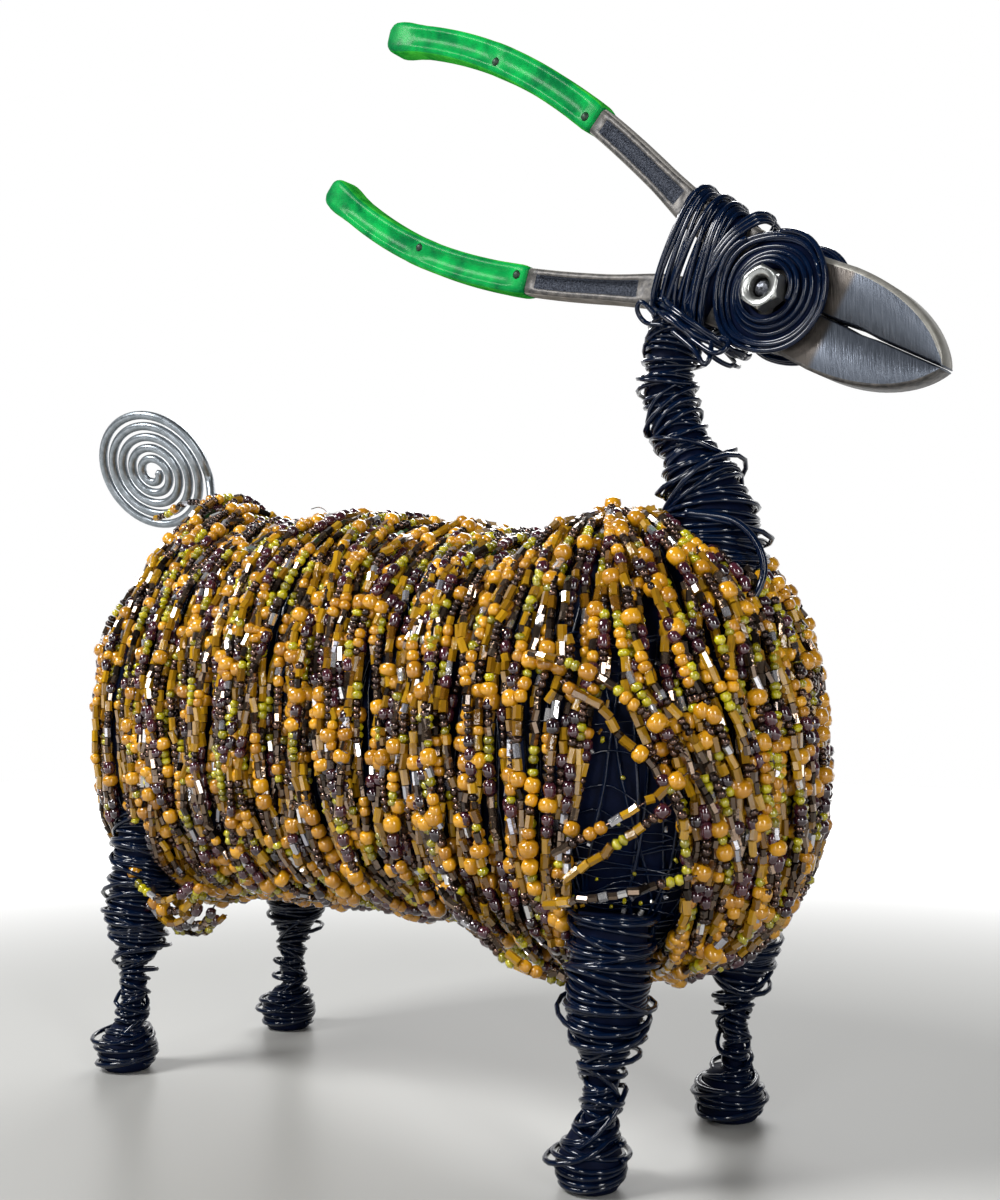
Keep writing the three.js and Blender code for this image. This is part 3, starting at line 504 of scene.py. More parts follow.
KIND_NAMES = list(KINDS)
KIND_SHARES = np.array([KINDS[n][6] for n in KIND_NAMES]) / sum(k[6] for k in KINDS.values())
# Gaps between beads and between kinds, and how often and how long a stretch of thread is bare
LAST_BEAD, BEAD_TILT, BEAD_GAP, KIND_GAP, BARE_SHARE, BARE_THREAD = 1.5, 0.13, 0.08, 0.05, 0.04, (0.5, 2.0)
# How far beads keep from neck and legs, and how a strand past an end of the back turns towards it
NECK_CLEAR, LEG_CLEAR, FEWEST_POINTS, CAP_TURN = 0.6, 0.4, 6, 40


def string_beads(rng, path, placed):
    """Walks a path and notes each bead's middle, direction and size by kind."""
    path = np.asarray(path, float)
    run = path_run(path)
    at = rng.uniform(0, LAST_BEAD)
    while at < run[-1] - LAST_BEAD:
        kind = KIND_NAMES[rng.choice(len(KIND_NAMES), p=KIND_SHARES)]
        _, _, _, _, lengths, widths, _, longest = KINDS[kind]
        length, width = rng.uniform(*lengths), rng.uniform(*widths)
        for _ in range(rng.integers(1, longest + 1)):
            if at + length > run[-1]:
                break
            back, front = at_run([at, at + length], run, path)
            tilt = rng.normal(0, BEAD_TILT, 3)
            along = unit(front - back + tilt * length)
            placed.append((kind, (back + front) / 2, along, length, width, rng.uniform(0, math.pi)))
            at += length + BEAD_GAP
        at += KIND_GAP if rng.random() > BARE_SHARE else rng.uniform(*BARE_THREAD)


def add_beads(shape, placed):
    for name, (profile, sides, material, flat, *_) in KINDS.items():
        these = [b for b in placed if b[0] == name]
        if not these:
            continue
        middle = np.array([b[1] for b in these])[:, None]
        along = np.array([b[2] for b in these])
        length = np.array([b[3] for b in these])[:, None, None]
        width = np.array([b[4] for b in these])[:, None, None]
        turn = round_angles(sides)[None, :] + np.array([b[5] for b in these])[:, None]
        across = unit(np.cross(along, BEAD_SLANT))
        out = around(across, np.cross(along, across), turn)
        along = along[:, None]
        rings = [middle + along * share * length + out * (radius * width / 2)
                 for share, radius in profile[1:-1]]
        ends = [middle + along * share * length for share, _ in (profile[0], profile[-1])]
        points = np.concatenate(rings + ends, axis=1)
        first = (np.arange(len(these)) * points.shape[1])[:, None, None]
        quads = (skin_faces(len(rings), sides)[None] + first).reshape(-1, 4)
        caps = (fans(len(rings), sides)[None] + first).reshape(-1, 3)
        shape.add(points, [quads, caps], material, flat)


def leg_line(leg, z):
    """Middle of a leg at heights z."""
    z = np.asarray(z, float)
    knee, thigh = LEG_BENDS
    share = [0.0, (leg["ankle_z"] - FOOT_H) / (LEG_TOP_Z - FOOT_H), knee, thigh, 1.0]
    at = (z - FOOT_H) / (LEG_TOP_Z - FOOT_H)
    x = leg["x"] + leg["bow"] * np.interp(at, share, LEG_BOWS)
    y = leg["y"] - np.sign(leg["y"]) * LEG_LEAN_IN * np.interp(at, share, LEG_LEANS)
    return np.stack([x, y, z], -1)


def leg_radius(leg, z):
    calf = mix(leg["ankle_r"], THIGH_R, smooth(z, leg["ankle_z"] + 1, leg["ankle_z"] + 14))
    shin = mix(FOOT_R - 1, calf, smooth(z, FOOT_H, leg["ankle_z"] - 2))
    return mix(shin, THIGH_TOP_R, smooth(z, 0.75 * LEG_TOP_Z, LEG_TOP_Z))


def neck_line():
    base, top = np.array(NECK_BASE), np.array(NECK_TOP)
    bends = [mix(base, top, share) - (behind, 0) for share, behind in NECK_BENDS]
    return sample_curve([(x, 0, z) for x, z in (base, *bends, top)], 120)


NECK_LINE = neck_line()


def neck_radius(t):
    return mix(NECK_BASE_R, NECK_R, smooth(t, 0.12, 0.52))


def clear_runs(path):
    """Stretches of a strand that lie outside the neck and the legs."""
    from_neck = np.linalg.norm(path[:, None] - NECK_LINE[None], axis=2)
    nearest = from_neck.argmin(1)
    free = from_neck.min(1) > neck_radius(nearest / (len(NECK_LINE) - 1)) + NECK_CLEAR
    for leg in LEGS.values():
        middle = leg_line(leg, path[:, 2])
        away = np.hypot(*(path - middle)[:, :2].T)
        free &= (away > leg_radius(leg, path[:, 2]) + LEG_CLEAR) | (path[:, 2] > LEG_TOP_Z)
    edges = np.flatnonzero(np.diff(np.concatenate([[0], free.astype(int), [0]])))
    return [path[a:b] for a, b in zip(edges[::2], edges[1::2]) if b - a > FEWEST_POINTS]


def side_strand(rng, x0, grow, lean):
    """Over the back from the right belly to the left one."""
    t = np.linspace(-1, 1, 181)
    down = np.abs(t)
    sway = 1.6 * wobble(rng, t, 0.8) + 0.8 * wobble(rng, t, 0.2)
    x = x0 + lean * (down - 0.5) + sway * np.clip(4 * down, 0.2, 1)
    beyond = np.clip(x - WITHERS_X, 0, None) + np.clip(RUMP_X - x, 0, None)
    turn = np.where(x > WITHERS_X, 1, -1) * beyond / CAP_TURN
    direction = np.where(t < 0, -np.pi / 2 + turn, np.pi / 2 - turn)
    return skin(np.clip(x, RUMP_X, WITHERS_X), direction, down, grow + 0.95 * wobble(rng, t, 0.25))


def cap_strand(rng, x0, direction, start, end, grow, swing, parted=False):
    """Fanned from one pole of the back down to the belly."""
    down = np.linspace(start, end, 101)
    bearing = direction + swing * (down - 0.5) + math.radians(2.3) * wobble(rng, down, 0.4)
    points = skin(x0, bearing, down, grow + 0.85 * wobble(rng, down, 0.25))
    if parted:
        bearing = part_at_gap(bearing, points[:, 2])
        points = skin(x0, bearing, down, grow + 0.85 * wobble(rng, down, 0.25))
    return points


# Strands by layer: how far out they lie and how far apart they are. Then those over the chest and the rump:
# where they start from, the direction of the first, their reach, the shares of the way down at which they
# start, and whether they part at the opening. All end at the shares in CAP_ENDS.
LAYERS, LEFT_OUT = [(-2.9, 5.0), (-1.2, 2.9)], 0.07
CAPS = {
    "chest": (WITHERS_X, -np.pi / 2, 38, (0.02, 0.2, 0.1, 0.28), True),
    "rump": (RUMP_X, np.pi / 2, 33, (0.02, 0.22, 0.12, 0.3), False),
}
CAP_ENDS = (0.98, 0.84, 0.92, 0.8)
OVER_STRANDS, SHAWL_STRANDS, CHEST_CROSSINGS, RUMP_CROSSINGS, CRUMBS = 36, 20, 16, 10, 60
OVER_GROW, CRUMB_GROW, LOOSE_GROW, THREAD_R = 0.1, -3.7, 2.0, 0.2

# Strands that hang or stand away from the others: a strand's end at the tail, a loose flap under the right
# groin, two slack loops under the belly and two strands slanting over the top of the opening
STRAY_STRANDS = [
    [(-68, -6, 148), (-80, -3, 150.5), (-92, -1, 149), (-102, 0, 147)],
    [(-70, -26, 52), (-64, -30, 44), (-55, -31, 40), (-46, -31, 40.5), (-38, -33, 48)],
    [(-68, -22, 50), (-62, -26, 42), (-54, -27, 38), (-45, -28, 39), (-38, -29, 44)],
    [(-66, -17, 46), (-60, -21, 40), (-53, -22, 37.5), (-46, -24, 38), (-38, -25, 42)],
    [(-62, -30, 50), (-57, -32, 44), (-50, -32, 42), (-44, -33, 44), (-36, -35, 50)],
    [(-66, -31, 54), (-60, -34, 47.5), (-52, -34.5, 45), (-45, -35, 46.5), (-38, -36, 51)],
    [(-66, -27, 48), (-60, -29, 41.5), (-54, -30, 39), (-48, -30, 39), (-41, -31, 44)],
    [(-64, -24, 45), (-59, -26.5, 40), (-53, -27, 36.5), (-47, -27, 37), (-41, -28, 42)],
    [(-63, -19, 44), (-58, -22, 38.5), (-52, -23, 36), (-47, -24, 36.5), (-42, -25, 41)],
    [(44, -36, 52), (52, -36, 46), (58, -35, 42), (64, -32, 40), (70, -27, 38)],
    [(40, -38, 56), (50, -38, 50), (56, -37.5, 46), (62, -35, 42), (68, -30, 39)],
    [(72, -39, 98), (80, -37.5, 93), (85, -35, 87), (90, -32, 80), (93, -29.5, 72), (94, -27, 62)],
    [(66, -41, 104), (76, -39.5, 101), (84, -36.5, 96), (90, -33, 90), (95, -29, 84)],
]
LONE_BEAD = (61.2, -3.0, 137.5)
THREAD_END = [(-33.5, -2, 144.6), (-32.7, 0, 145.2), (-30.1, 0, 143.9), (-28.8, 0, 140.8)]


def fleece():
    rng = np.random.default_rng(7)
    groups = {"right": [], "left": [], "chest": [], "rump": [], "over": [], "shawl": []}

    def string(path, group):
        for run in clear_runs(path):
            if group == "sides":
                for half, name in ((run[run[:, 1] < 0], "right"), (run[run[:, 1] >= 0], "left")):
                    if len(half) > FEWEST_POINTS:
                        string_beads(rng, half, groups[name])
            else:
                string_beads(rng, run, groups[group])

    for grow, spacing in LAYERS:
        count = round((WITHERS_X - RUMP_X) / spacing)
        for i in range(count):
            x0 = RUMP_X + (i + 0.5 + rng.uniform(-0.32, 0.32)) * (WITHERS_X - RUMP_X) / count
            if rng.random() > LEFT_OUT:
                string(side_strand(rng, x0, grow, rng.normal(-1.5, 6.5)), "sides")
        for group, (pole, facing, reach, starts, parted) in CAPS.items():
            count = round(math.pi * reach / spacing)
            for i in range(count):
                direction = facing + np.pi * (i + 0.5 + rng.uniform(-0.3, 0.3)) / count
                start, end = starts[i % 4], CAP_ENDS[i % 4]
                string(cap_strand(rng, pole, direction, start, end, grow, rng.normal(0, 0.09), parted), group)
    for _ in range(OVER_STRANDS):
        x0 = rng.uniform(RUMP_X + 6, WITHERS_X - 8)
        string(side_strand(rng, x0, rng.uniform(0, 0.9), rng.choice([-1, 1]) * rng.uniform(8, 24)), "over")

    def cross(pole, direction, start, parted):
        swing = rng.choice([-1, 1]) * rng.uniform(0.15, 0.5)
        string(cap_strand(rng, pole, direction, start, 0.95, OVER_GROW, swing, parted), "shawl")

    for _ in range(CHEST_CROSSINGS):
        cross(WITHERS_X, rng.uniform(-0.5, 1.5), 0.1, True)
    for i in range(SHAWL_STRANDS):
        direction = mix(-0.85, 0.9, (i + rng.uniform(0.2, 0.8)) / SHAWL_STRANDS)
        start, end = rng.uniform(0.08, 0.2), rng.uniform(0.5, 0.8)
        grow, swing = rng.uniform(0, 0.6), rng.uniform(0.9, 1.5)
        string(cap_strand(rng, WITHERS_X, direction, start, end, grow, swing, True), "shawl")
    for _ in range(RUMP_CROSSINGS):
        cross(RUMP_X, np.pi / 2 + rng.uniform(0.1, 0.9) * np.pi, 0.06, False)
    for _ in range(CRUMBS):
        at = skin(WITHERS_X, math.radians(rng.uniform(-76, -36)), rng.uniform(0.4, 0.78), CRUMB_GROW)
        kind = ("amber", "chartreuse", "clear")[rng.integers(3)]
        along, length, width = unit(rng.normal(0, 1, 3)), rng.uniform(0.7, 1.6), rng.uniform(0.6, 1.0)
        groups["over"].append((kind, at, along, length, width, 0.0))
    threads = []
    for points in STRAY_STRANDS:
        path = sample_curve(points, 60)
        t = np.linspace(0, 1, len(path))
        threads.append(path + 0.7 * np.stack([wobble(rng, t, 0.35) for _ in range(3)], -1))
        string_beads(rng, threads[-1], groups["over"])
    groups["over"].append(("mustard_large", np.array(LONE_BEAD), np.array([0.0, 0.0, 1.0]), 3.4, 4.0, 0.0))
    for name, placed in groups.items():
        shape = Shape()
        add_beads(shape, placed)
        if name == "over":
            for path in threads:
                add_tube(shape, path, THREAD_R, 4, material=5)
            add_tube(shape, sample_curve(THREAD_END, 24), 0.6 * THREAD_R, 4, material=5)
        shape.piece(f"bead_strands_{name}", BEAD_MATERIALS, "beads", "bead_fleece")


def over_leg(p, leg, extra):
    """Points lifted clear of a leg."""
    out = p - leg_line(leg, p[:, 2])
    out[:, 2] = 0
    away = np.linalg.norm(out, axis=1)
    reach = leg_radius(leg, p[:, 2]) + extra
    return p + unit(out) * np.clip(reach - away, 0, None)[:, None]


LOOSE = {
    "loose_strand_1": ((-75, 0.596), (-40, 0.515)),
    "loose_strand_2": ((-76, 0.64), (-44, 0.54)),
    "loose_strand_3": ((-80, 0.67), (-37, 0.62)),
}


def loose_strands():
    rng = np.random.default_rng(11)
    for name, ((dir0, down0), (dir1, down1)) in LOOSE.items():
        t = np.linspace(0, 1, 60)
        path = skin(WITHERS_X, np.radians(mix(dir0, dir1, t)), mix(down0, down1, t), LOOSE_GROW)
        path = over_leg(path, LEGS["leg_front_right"], LOOSE_GROW + 0.4)
        placed = []
        string_beads(rng, path, placed)
        shape = Shape()
        add_beads(shape, placed)
        add_tube(shape, path, THREAD_R, 4, material=5)
        shape.piece(name + "_beads", BEAD_MATERIALS, "beads", name)


# Wire windings: how far under or over the surface their layers lie. Then each one's distance between turns,
# lean, messiness, share of turns with a stray loop and, where it isn't the usual one, points a turn.
WINDING_SINK, SHIN_SINK, CORE_UNDER, TIGHT_UNDER, MESSY_OVER = 0.7, 0.8, 0.9, 0.6, 0.1
LEG_TIGHT, LEG_MESSY = (1.15, 0.5, 0.45, 0.05), (2.3, 1.4, 0.9, 0.5)
NECK_TIGHT, NECK_MESSY = (1.25, 0.8, 0.5, 0.05), (2.6, 1.5, 0.9, 0.6)
FOOT_TURNS, FOOT_RIM = (1.25, 0.4, 0.25, 0.1, 28), (1.9, 0.9, 0.6, 0.5, 28)
FOOT_PROFILE = [(0, FOOT_FLAT_R), (0.35, 5.7), (1.2, 6.4), (2.6, 6.9), (4.2, 7.2), (6.0, 7.1), (7.6, 6.5),
                (9.0, 5.7), (10.4, 4.8), (11.6, 3.9)]
LEG_WIRE_TOP = {"leg_front_right": 53.0, "leg_front_left": 62.0, "leg_rear_right": 66.0,
                "leg_rear_left": 62.0}
TRUNK_GROW, TRUNK_WIRE_GROW, TRUNK_WIRE_R, BAND_WIRE_GROW, BAND_WIRE_R = -5.0, -4.3, 0.42, -4.1, 0.22
SIDE_WIRES, CHEST_WIRES, BAND_WIRES, RUMP_WIRES = 110, 45, 30, 30


def wind(shape, rng, line, radius, pitch, swing, mess, loops, steps=19, lowest=-np.inf):
    """A wire wound round a line: turns that lean, a messy radius and a share of turns with a stray loop."""
    run = path_run(line)
    turns = run[-1] / pitch
    t = np.linspace(0, turns, int(turns * steps))
    lean_size = 0.9 + swing * wobble(rng, t, 3.0)
    lean_way = 2 * np.pi * 0.13 * t + wobble(rng, t, 6.0)
    angle = 2 * np.pi * t
    s = np.clip(t * pitch + lean_size * np.cos(angle - lean_way) * pitch, 0, run[-1])
    bulge = np.zeros_like(t)
    for turn in range(int(turns)):
        if rng.random() < loops:
            centre = turn + rng.uniform(0, 1)
            bulge += rng.uniform(1.0, 2.6) * np.exp(-0.5 * ((t - centre) / rng.uniform(0.05, 0.11)) ** 2)
    r = np.interp(s, run, radius) + mess * wobble(rng, t, 0.8) * 0.7 + mess * 0.5 + bulge
    along = unit(at_run(s, run, np.gradient(line, axis=0)))
    across, up = two_across(along)
    out = across * np.cos(angle)[:, None] + up * np.sin(angle)[:, None]
    path = at_run(s, run, line) + out * r[:, None]
    path[:, 2] = np.maximum(path[:, 2], lowest)
    add_tube(shape, path, WIRE_R, 6, out)


def add_core(shape, line, radius, sides=16):
    """Dark filling under a winding."""
    out = around(*two_across(unit(np.gradient(line, axis=0))), round_angles(sides))
    add_loft(shape, line[:, None] + out * radius[:, None, None], 1)


def add_layers(shape, rng, line, radius, tight, messy):
    """A core, a tight layer of wire on it and a messy one over that."""
    add_core(shape, line, radius - CORE_UNDER)
    wind(shape, rng, line, radius - TIGHT_UNDER, *tight)
    wind(shape, rng, line, radius + MESSY_OVER, *messy)


def legs():
    for number, (name, leg) in enumerate(LEGS.items()):
        rng = np.random.default_rng(20 + number)
        shape = Shape()
        z = np.linspace(FOOT_H - 2, LEG_WIRE_TOP[name], 90)
        solid = leg_radius(leg, z)
        shin = mix(FOOT_R - 1.5, leg["ankle_r"], smooth(z, FOOT_H - 2.5, FOOT_H + 1))
        radius = np.where(z < leg["ankle_z"], np.minimum(solid, shin), solid)
        radius = radius - WINDING_SINK - SHIN_SINK * smooth(z, leg["ankle_z"] + 17, leg["ankle_z"] + 3)
        foot_z, foot_r = np.array(FOOT_PROFILE).T
        foot_r = foot_r * leg["foot"]
        foot_line = np.stack([np.full_like(foot_z, leg["x"]), np.full_like(foot_z, leg["y"]), foot_z], -1)
        add_layers(shape, rng, leg_line(leg, z), radius, LEG_TIGHT, LEG_MESSY)
        add_core(shape, foot_line, foot_r, 28)
        turn_z = np.linspace(1.4, 10.6, 60)
        turn_line = np.stack([np.full_like(turn_z, leg["x"]), np.full_like(turn_z, leg["y"]), turn_z], -1)
        turn_r = np.interp(turn_z, foot_z, foot_r)
        wind(shape, rng, turn_line, turn_r + 0.05, *FOOT_TURNS, lowest=WIRE_R + 0.1)
        wind(shape, rng, turn_line[30:], turn_r[30:] + 0.7, *FOOT_RIM)
        shape.piece(name + "_wire", [black_wire, black_core], "black_wire", name)


def neck():
    rng = np.random.default_rng(31)
    shape = Shape()
    radius = neck_radius(np.linspace(0, 1, len(NECK_LINE))) - WINDING_SINK
    add_layers(shape, rng, NECK_LINE, radius, NECK_TIGHT, NECK_MESSY)
    add_tube(shape, sample_curve(NECK_LOOSE_WIRE, 40), 0.8, 7)
    shape.piece("neck_wire", [black_wire, black_core], "black_wire", "neck_winding")


def trunk():
    """Dark trunk under the fleece with wires over it, seen in the opening and between the strands."""
    rng = np.random.default_rng(41)
    shape = Shape()
    columns = ([(x, -np.pi / 2) for x in np.linspace(RUMP_X, WITHERS_X, 13)]
               + [(WITHERS_X, -np.pi / 2 + np.pi * i / 12) for i in range(1, 12)]
               + [(x, np.pi / 2) for x in np.linspace(WITHERS_X, RUMP_X, 13)]
               + [(RUMP_X, np.pi / 2 + np.pi * i / 12) for i in range(1, 12)])
    downs = np.linspace(0, 1, 25)
    grid = np.array([skin(x, direction, downs, TRUNK_GROW) for x, direction in columns]).transpose(1, 0, 2)
    shape.add(grid, [skin_faces(len(downs), len(columns))], 1)

    def cap_wire(pole, direction):
        path = cap_strand(rng, pole, direction, 0.05, 0.98, TRUNK_WIRE_GROW, rng.normal(0, 0.7))
        add_tube(shape, path[::3], TRUNK_WIRE_R, 3)

    for _ in range(SIDE_WIRES):
        x0 = rng.uniform(RUMP_X, WITHERS_X)
        path = side_strand(rng, x0, TRUNK_WIRE_GROW, rng.normal(0, 22))
        add_tube(shape, path[::4], TRUNK_WIRE_R, 3)
    for _ in range(CHEST_WIRES):
        cap_wire(WITHERS_X, rng.uniform(-1.5, 1.5))
    for _ in range(BAND_WIRES):
        t = np.linspace(0, 1, 31)
        direction = np.radians(mix(GAP_FROM - 5, GAP_TO, t))
        down = rng.uniform(0.36, 0.84) + rng.normal(0, 0.06) * (t - 0.5) + 0.012 * wobble(rng, t, 0.4)
        add_tube(shape, skin(WITHERS_X, direction, down, BAND_WIRE_GROW), BAND_WIRE_R, 4)
    for _ in range(RUMP_WIRES):
        cap_wire(RUMP_X, np.pi / 2 + rng.uniform(0.05, 0.95) * np.pi)
    shape.piece("trunk_wire", [black_wire, black_core], "black_wire", "trunk_winding")


def corner(angle):
    """How far the outer turns of an eye's coil stand out at their two blunt corners."""
    total = 0.0
    for at, height, spread in COIL_CORNERS:
        off = (np.degrees(angle) - at + 180) % 360 - 180
        total = total + height * np.exp(-((off / spread) ** 2))
    return total


def eye_coils():
    """Flat wire spirals: tight turns round the nut, then looser ones with blunt corners."""
    for side, sign in (("right", -1), ("left", 1)):
        rng = np.random.default_rng(51 + sign)
        shape = Shape()
        pitch = 2 * WIRE_R + 0.06
        t = np.linspace(0, COIL_TURNS, round(60 * COIL_TURNS))
        loose = np.clip(t - COIL_TIGHT, 0, None)
        r = COIL_INNER_R + pitch * np.minimum(t, COIL_TIGHT) + (pitch + 0.5) * loose
        angle = 2 * np.pi * t
        square = 1 + smooth(t, 2.8, 3.8) * corner(angle)
        stray = (0.06 + 0.14 * smooth(t, 2.2, 4.2)) * wobble(rng, t, 0.7)
        r = np.minimum(r, COIL_R - WIRE_R - 0.6) * square + stray
        dome = COIL_DOME * smooth(r, 9.5, COIL_INNER_R)
        depth = EYE_BACK + WIRE_R + 0.35 + dome + 0.1 * wobble(rng, t, 0.6)
        add_tube(shape, to_goat(hoop(r, sign * depth, angle)), WIRE_R, 8, (0, sign, 0))
        for lift, radius, start, end in COIL_LOOPS:
            angle = 2 * np.pi * np.linspace(start, end, 60)
            wide = radius * (1 + corner(angle)) + 0.2 * np.cos(3 * angle + lift)
            add_tube(shape, to_goat(hoop(wide, sign * (EYE_BACK + lift), angle)), WIRE_R, 8, (0, sign, 0))
        rings = np.array([hoop(radius, sign * (EYE_BACK + d), round_angles(40)) for radius, d in COIL_CORE])
        shape.add(to_goat(rings), [skin_faces(len(rings), 40)], 1)
        shape.piece(f"eye_coil_{side}_wire", [black_wire, black_core], "black_wire", f"eye_coil_{side}")


def add_turn(shape, path, out):
    """A closed turn of wire; out points away from its middle."""
    add_tube(shape, np.concatenate([path, path[:1]]), WIRE_R, 7, np.concatenate([out, out[:1]]))


def lashing():
    """Turns of wire round both lever roots, fanned and askew, with loops below round the top of the neck."""
    rng = np.random.default_rng(61)
    shape = Shape()
    steps = 64
    angle = round_angles(steps)
    c, s = np.cos(angle), np.sin(angle)
    square = LASHING_SQUARENESS
    reach = 1 / (np.abs(c) ** square + np.abs(s) ** square) ** (1 / square)
    out = np.stack([np.zeros(steps), s, c], -1)
    for layer, count in enumerate(LASHING_COUNTS):
        for i in range(count):
            share = (i + 0.5 + rng.uniform(-0.25, 0.25)) / count
            half_w = mix(LASHING_HALF_W, LASHING_END_HALF_W, share) - 0.9 + layer * LASHING_LAYER
            half_t = LASHING_HALF_T - 1.0 + layer * LASHING_LAYER
            middle = mix(LASHING_FROM + 0.8, LASHING_TO - 0.8, share)
            slant = LASHING_SLANT * half_w + rng.normal(0, 0.6) * (1 + 0.6 * layer)
            across = half_w * reach * c
            bow = 0.9 * (1 - (across / half_w) ** 2)
            u = middle + slant * across / half_w + bow + 0.5 * s + 0.2 * wobble(rng, angle, 2.5)
            path = np.stack([-u, half_t * reach * s * (1 + 0.03 * wobble(rng, angle, 3.0)), across], -1)
            add_turn(shape, to_goat(path), out)
    for start, half_w in COIL_HUGGING_TURNS:
        across = half_w * reach * c
        upper, lower = np.clip(across / half_w, 0, 1), np.clip(-across / half_w, 0, 1)
        u = start - 4.2 * upper**2 + 2.6 * lower + 0.15 * wobble(rng, angle, 2.5)
        add_turn(shape, to_goat(np.stack([-u, (LASHING_HALF_T - 0.7) * reach * s, across], -1)), out)
    rings = [np.stack([np.full(steps, -u), half_t * reach * s, half_w * reach * c], -1)
             for u, half_w, half_t in LASHING_CORE]
    add_loft(shape, rings, 1, to=to_goat)
    low_left, low_right = np.array(LOOPS_FROM), np.array(LOOPS_TO)
    along = (low_right - low_left) / np.linalg.norm(low_right - low_left)
    below = np.array([along[1], -along[0]])
    out = np.stack([c * along[0], s, c * along[1]], -1)
    for _ in range(LOW_LOOPS):
        middle = (low_left + low_right) / 2 + below * rng.uniform(-1.6, 1.6) + along * rng.uniform(-0.8, 0.8)
        long, wide = 11.6 + rng.uniform(-1.2, 0.8), 8.9 + rng.uniform(-0.4, 1.1)
        skew = rng.uniform(-0.12, 0.12)
        drop = skew * long * c + 0.5 * wobble(rng, angle, 2.0)
        flat = middle + along * (long * c)[:, None] + below * drop[:, None]
        add_turn(shape, np.stack([flat[:, 0], wide * s, flat[:, 1]], -1), out)
    for hook in LASHING_HOOKS:
        add_tube(shape, sample_curve(hook, 30), WIRE_R, 7)
    shape.piece("head_lashing_wire", [black_wire, black_core], "black_wire", "head_lashing")


# Faces of a handle's or sleeve's section that are the troughs, and those that are the narrow sides
TROUGH_SIDES, NARROW_SIDES = (3, 4, 5, 13, 14, 15), (8, 9, 10, 18, 19, 0)


def jaw_half_width(x):
    x = np.asarray(x, float)
    along = np.clip((x - JAW_WIDEST) / (JAW_L - JAW_WIDEST), 0, 1)
    tapered = np.maximum(JAW_HALF_W * (1 - along**2.2) ** 0.66, 0.45)
    return np.where(x < JAW_WIDEST, mix(0.92 * JAW_HALF_W, JAW_HALF_W, x / JAW_WIDEST), tapered)


def handle_rise(u):
    return HANDLE_SPREAD * np.sin(0.5 * np.pi * (u / HANDLE_SPREAD_AT) ** HANDLE_BEND)


def handle_at(u, half_w):
    if u >= HANDLE_ROOT:
        return handle_rise(u), half_w + ROOT_SPREAD * float(smooth(u, HANDLE_ROOT + 15, HANDLE_ROOT))
    root_half = HANDLE_HALF_W + ROOT_SPREAD
    share = (u - ROOT_FROM) / (HANDLE_ROOT - ROOT_FROM)
    outer = mix(0.96 * BOSS_R, handle_rise(HANDLE_ROOT) + root_half, share)
    inner = mix(ROOT_INNER, handle_rise(HANDLE_ROOT) - root_half, share)
    return (outer + inner) / 2, (outer - inner) / 2


def bar_ring(u, half_w, half_t, chamfer, trough, sign):
    """Section of a lever's handle at u from the pivot, with a trough on both faces."""
    rise, a = handle_at(u, half_w)
    slope = handle_at(u + 0.5, half_w)[0] - handle_at(u - 0.5, half_w)[0]
    across = np.array([slope, 0, 1]) / math.hypot(1, slope)
    floor, lip = 0.62 * (a - chamfer), 0.74 * (a - chamfer)
    half = [(a, half_t - chamfer), (a - 0.3 * chamfer, half_t - 0.3 * chamfer), (a - chamfer, half_t),
            (lip, half_t), (floor, half_t - trough), (-floor, half_t - trough), (-lip, half_t),
            (chamfer - a, half_t), (0.3 * chamfer - a, half_t - 0.3 * chamfer), (-a, half_t - chamfer)]
    section = half + [(s, -y) for s, y in reversed(half)]
    return np.array([[-u + s * across[0], y, rise + s * across[2]] for s, y in section]) * [1, 1, sign]


def add_bar(shape, rings, face, edge, trough=None):
    """Loft over bar rings. edge is the narrow sides' material, trough the pockets' one and its first and
    last row."""
    rings = np.array(rings)
    rows, sides = rings.shape[:2]
    faces = skin_faces(rows, sides)
    row, side = np.divmod(np.arange(len(faces)), sides)
    trough_material, first, last = trough or (face, 0, 0)
    in_trough = np.isin(side, TROUGH_SIDES) & (row >= first) & (row < last)
    on_edge = np.isin(side, NARROW_SIDES)
    shape.add_parts(to_goat(with_middles(rings)), [
        (faces[in_trough], trough_material, False), (faces[~in_trough & ~on_edge], face, False),
        (fans(rows, sides), face, False), (faces[~in_trough & on_edge], edge, False)])


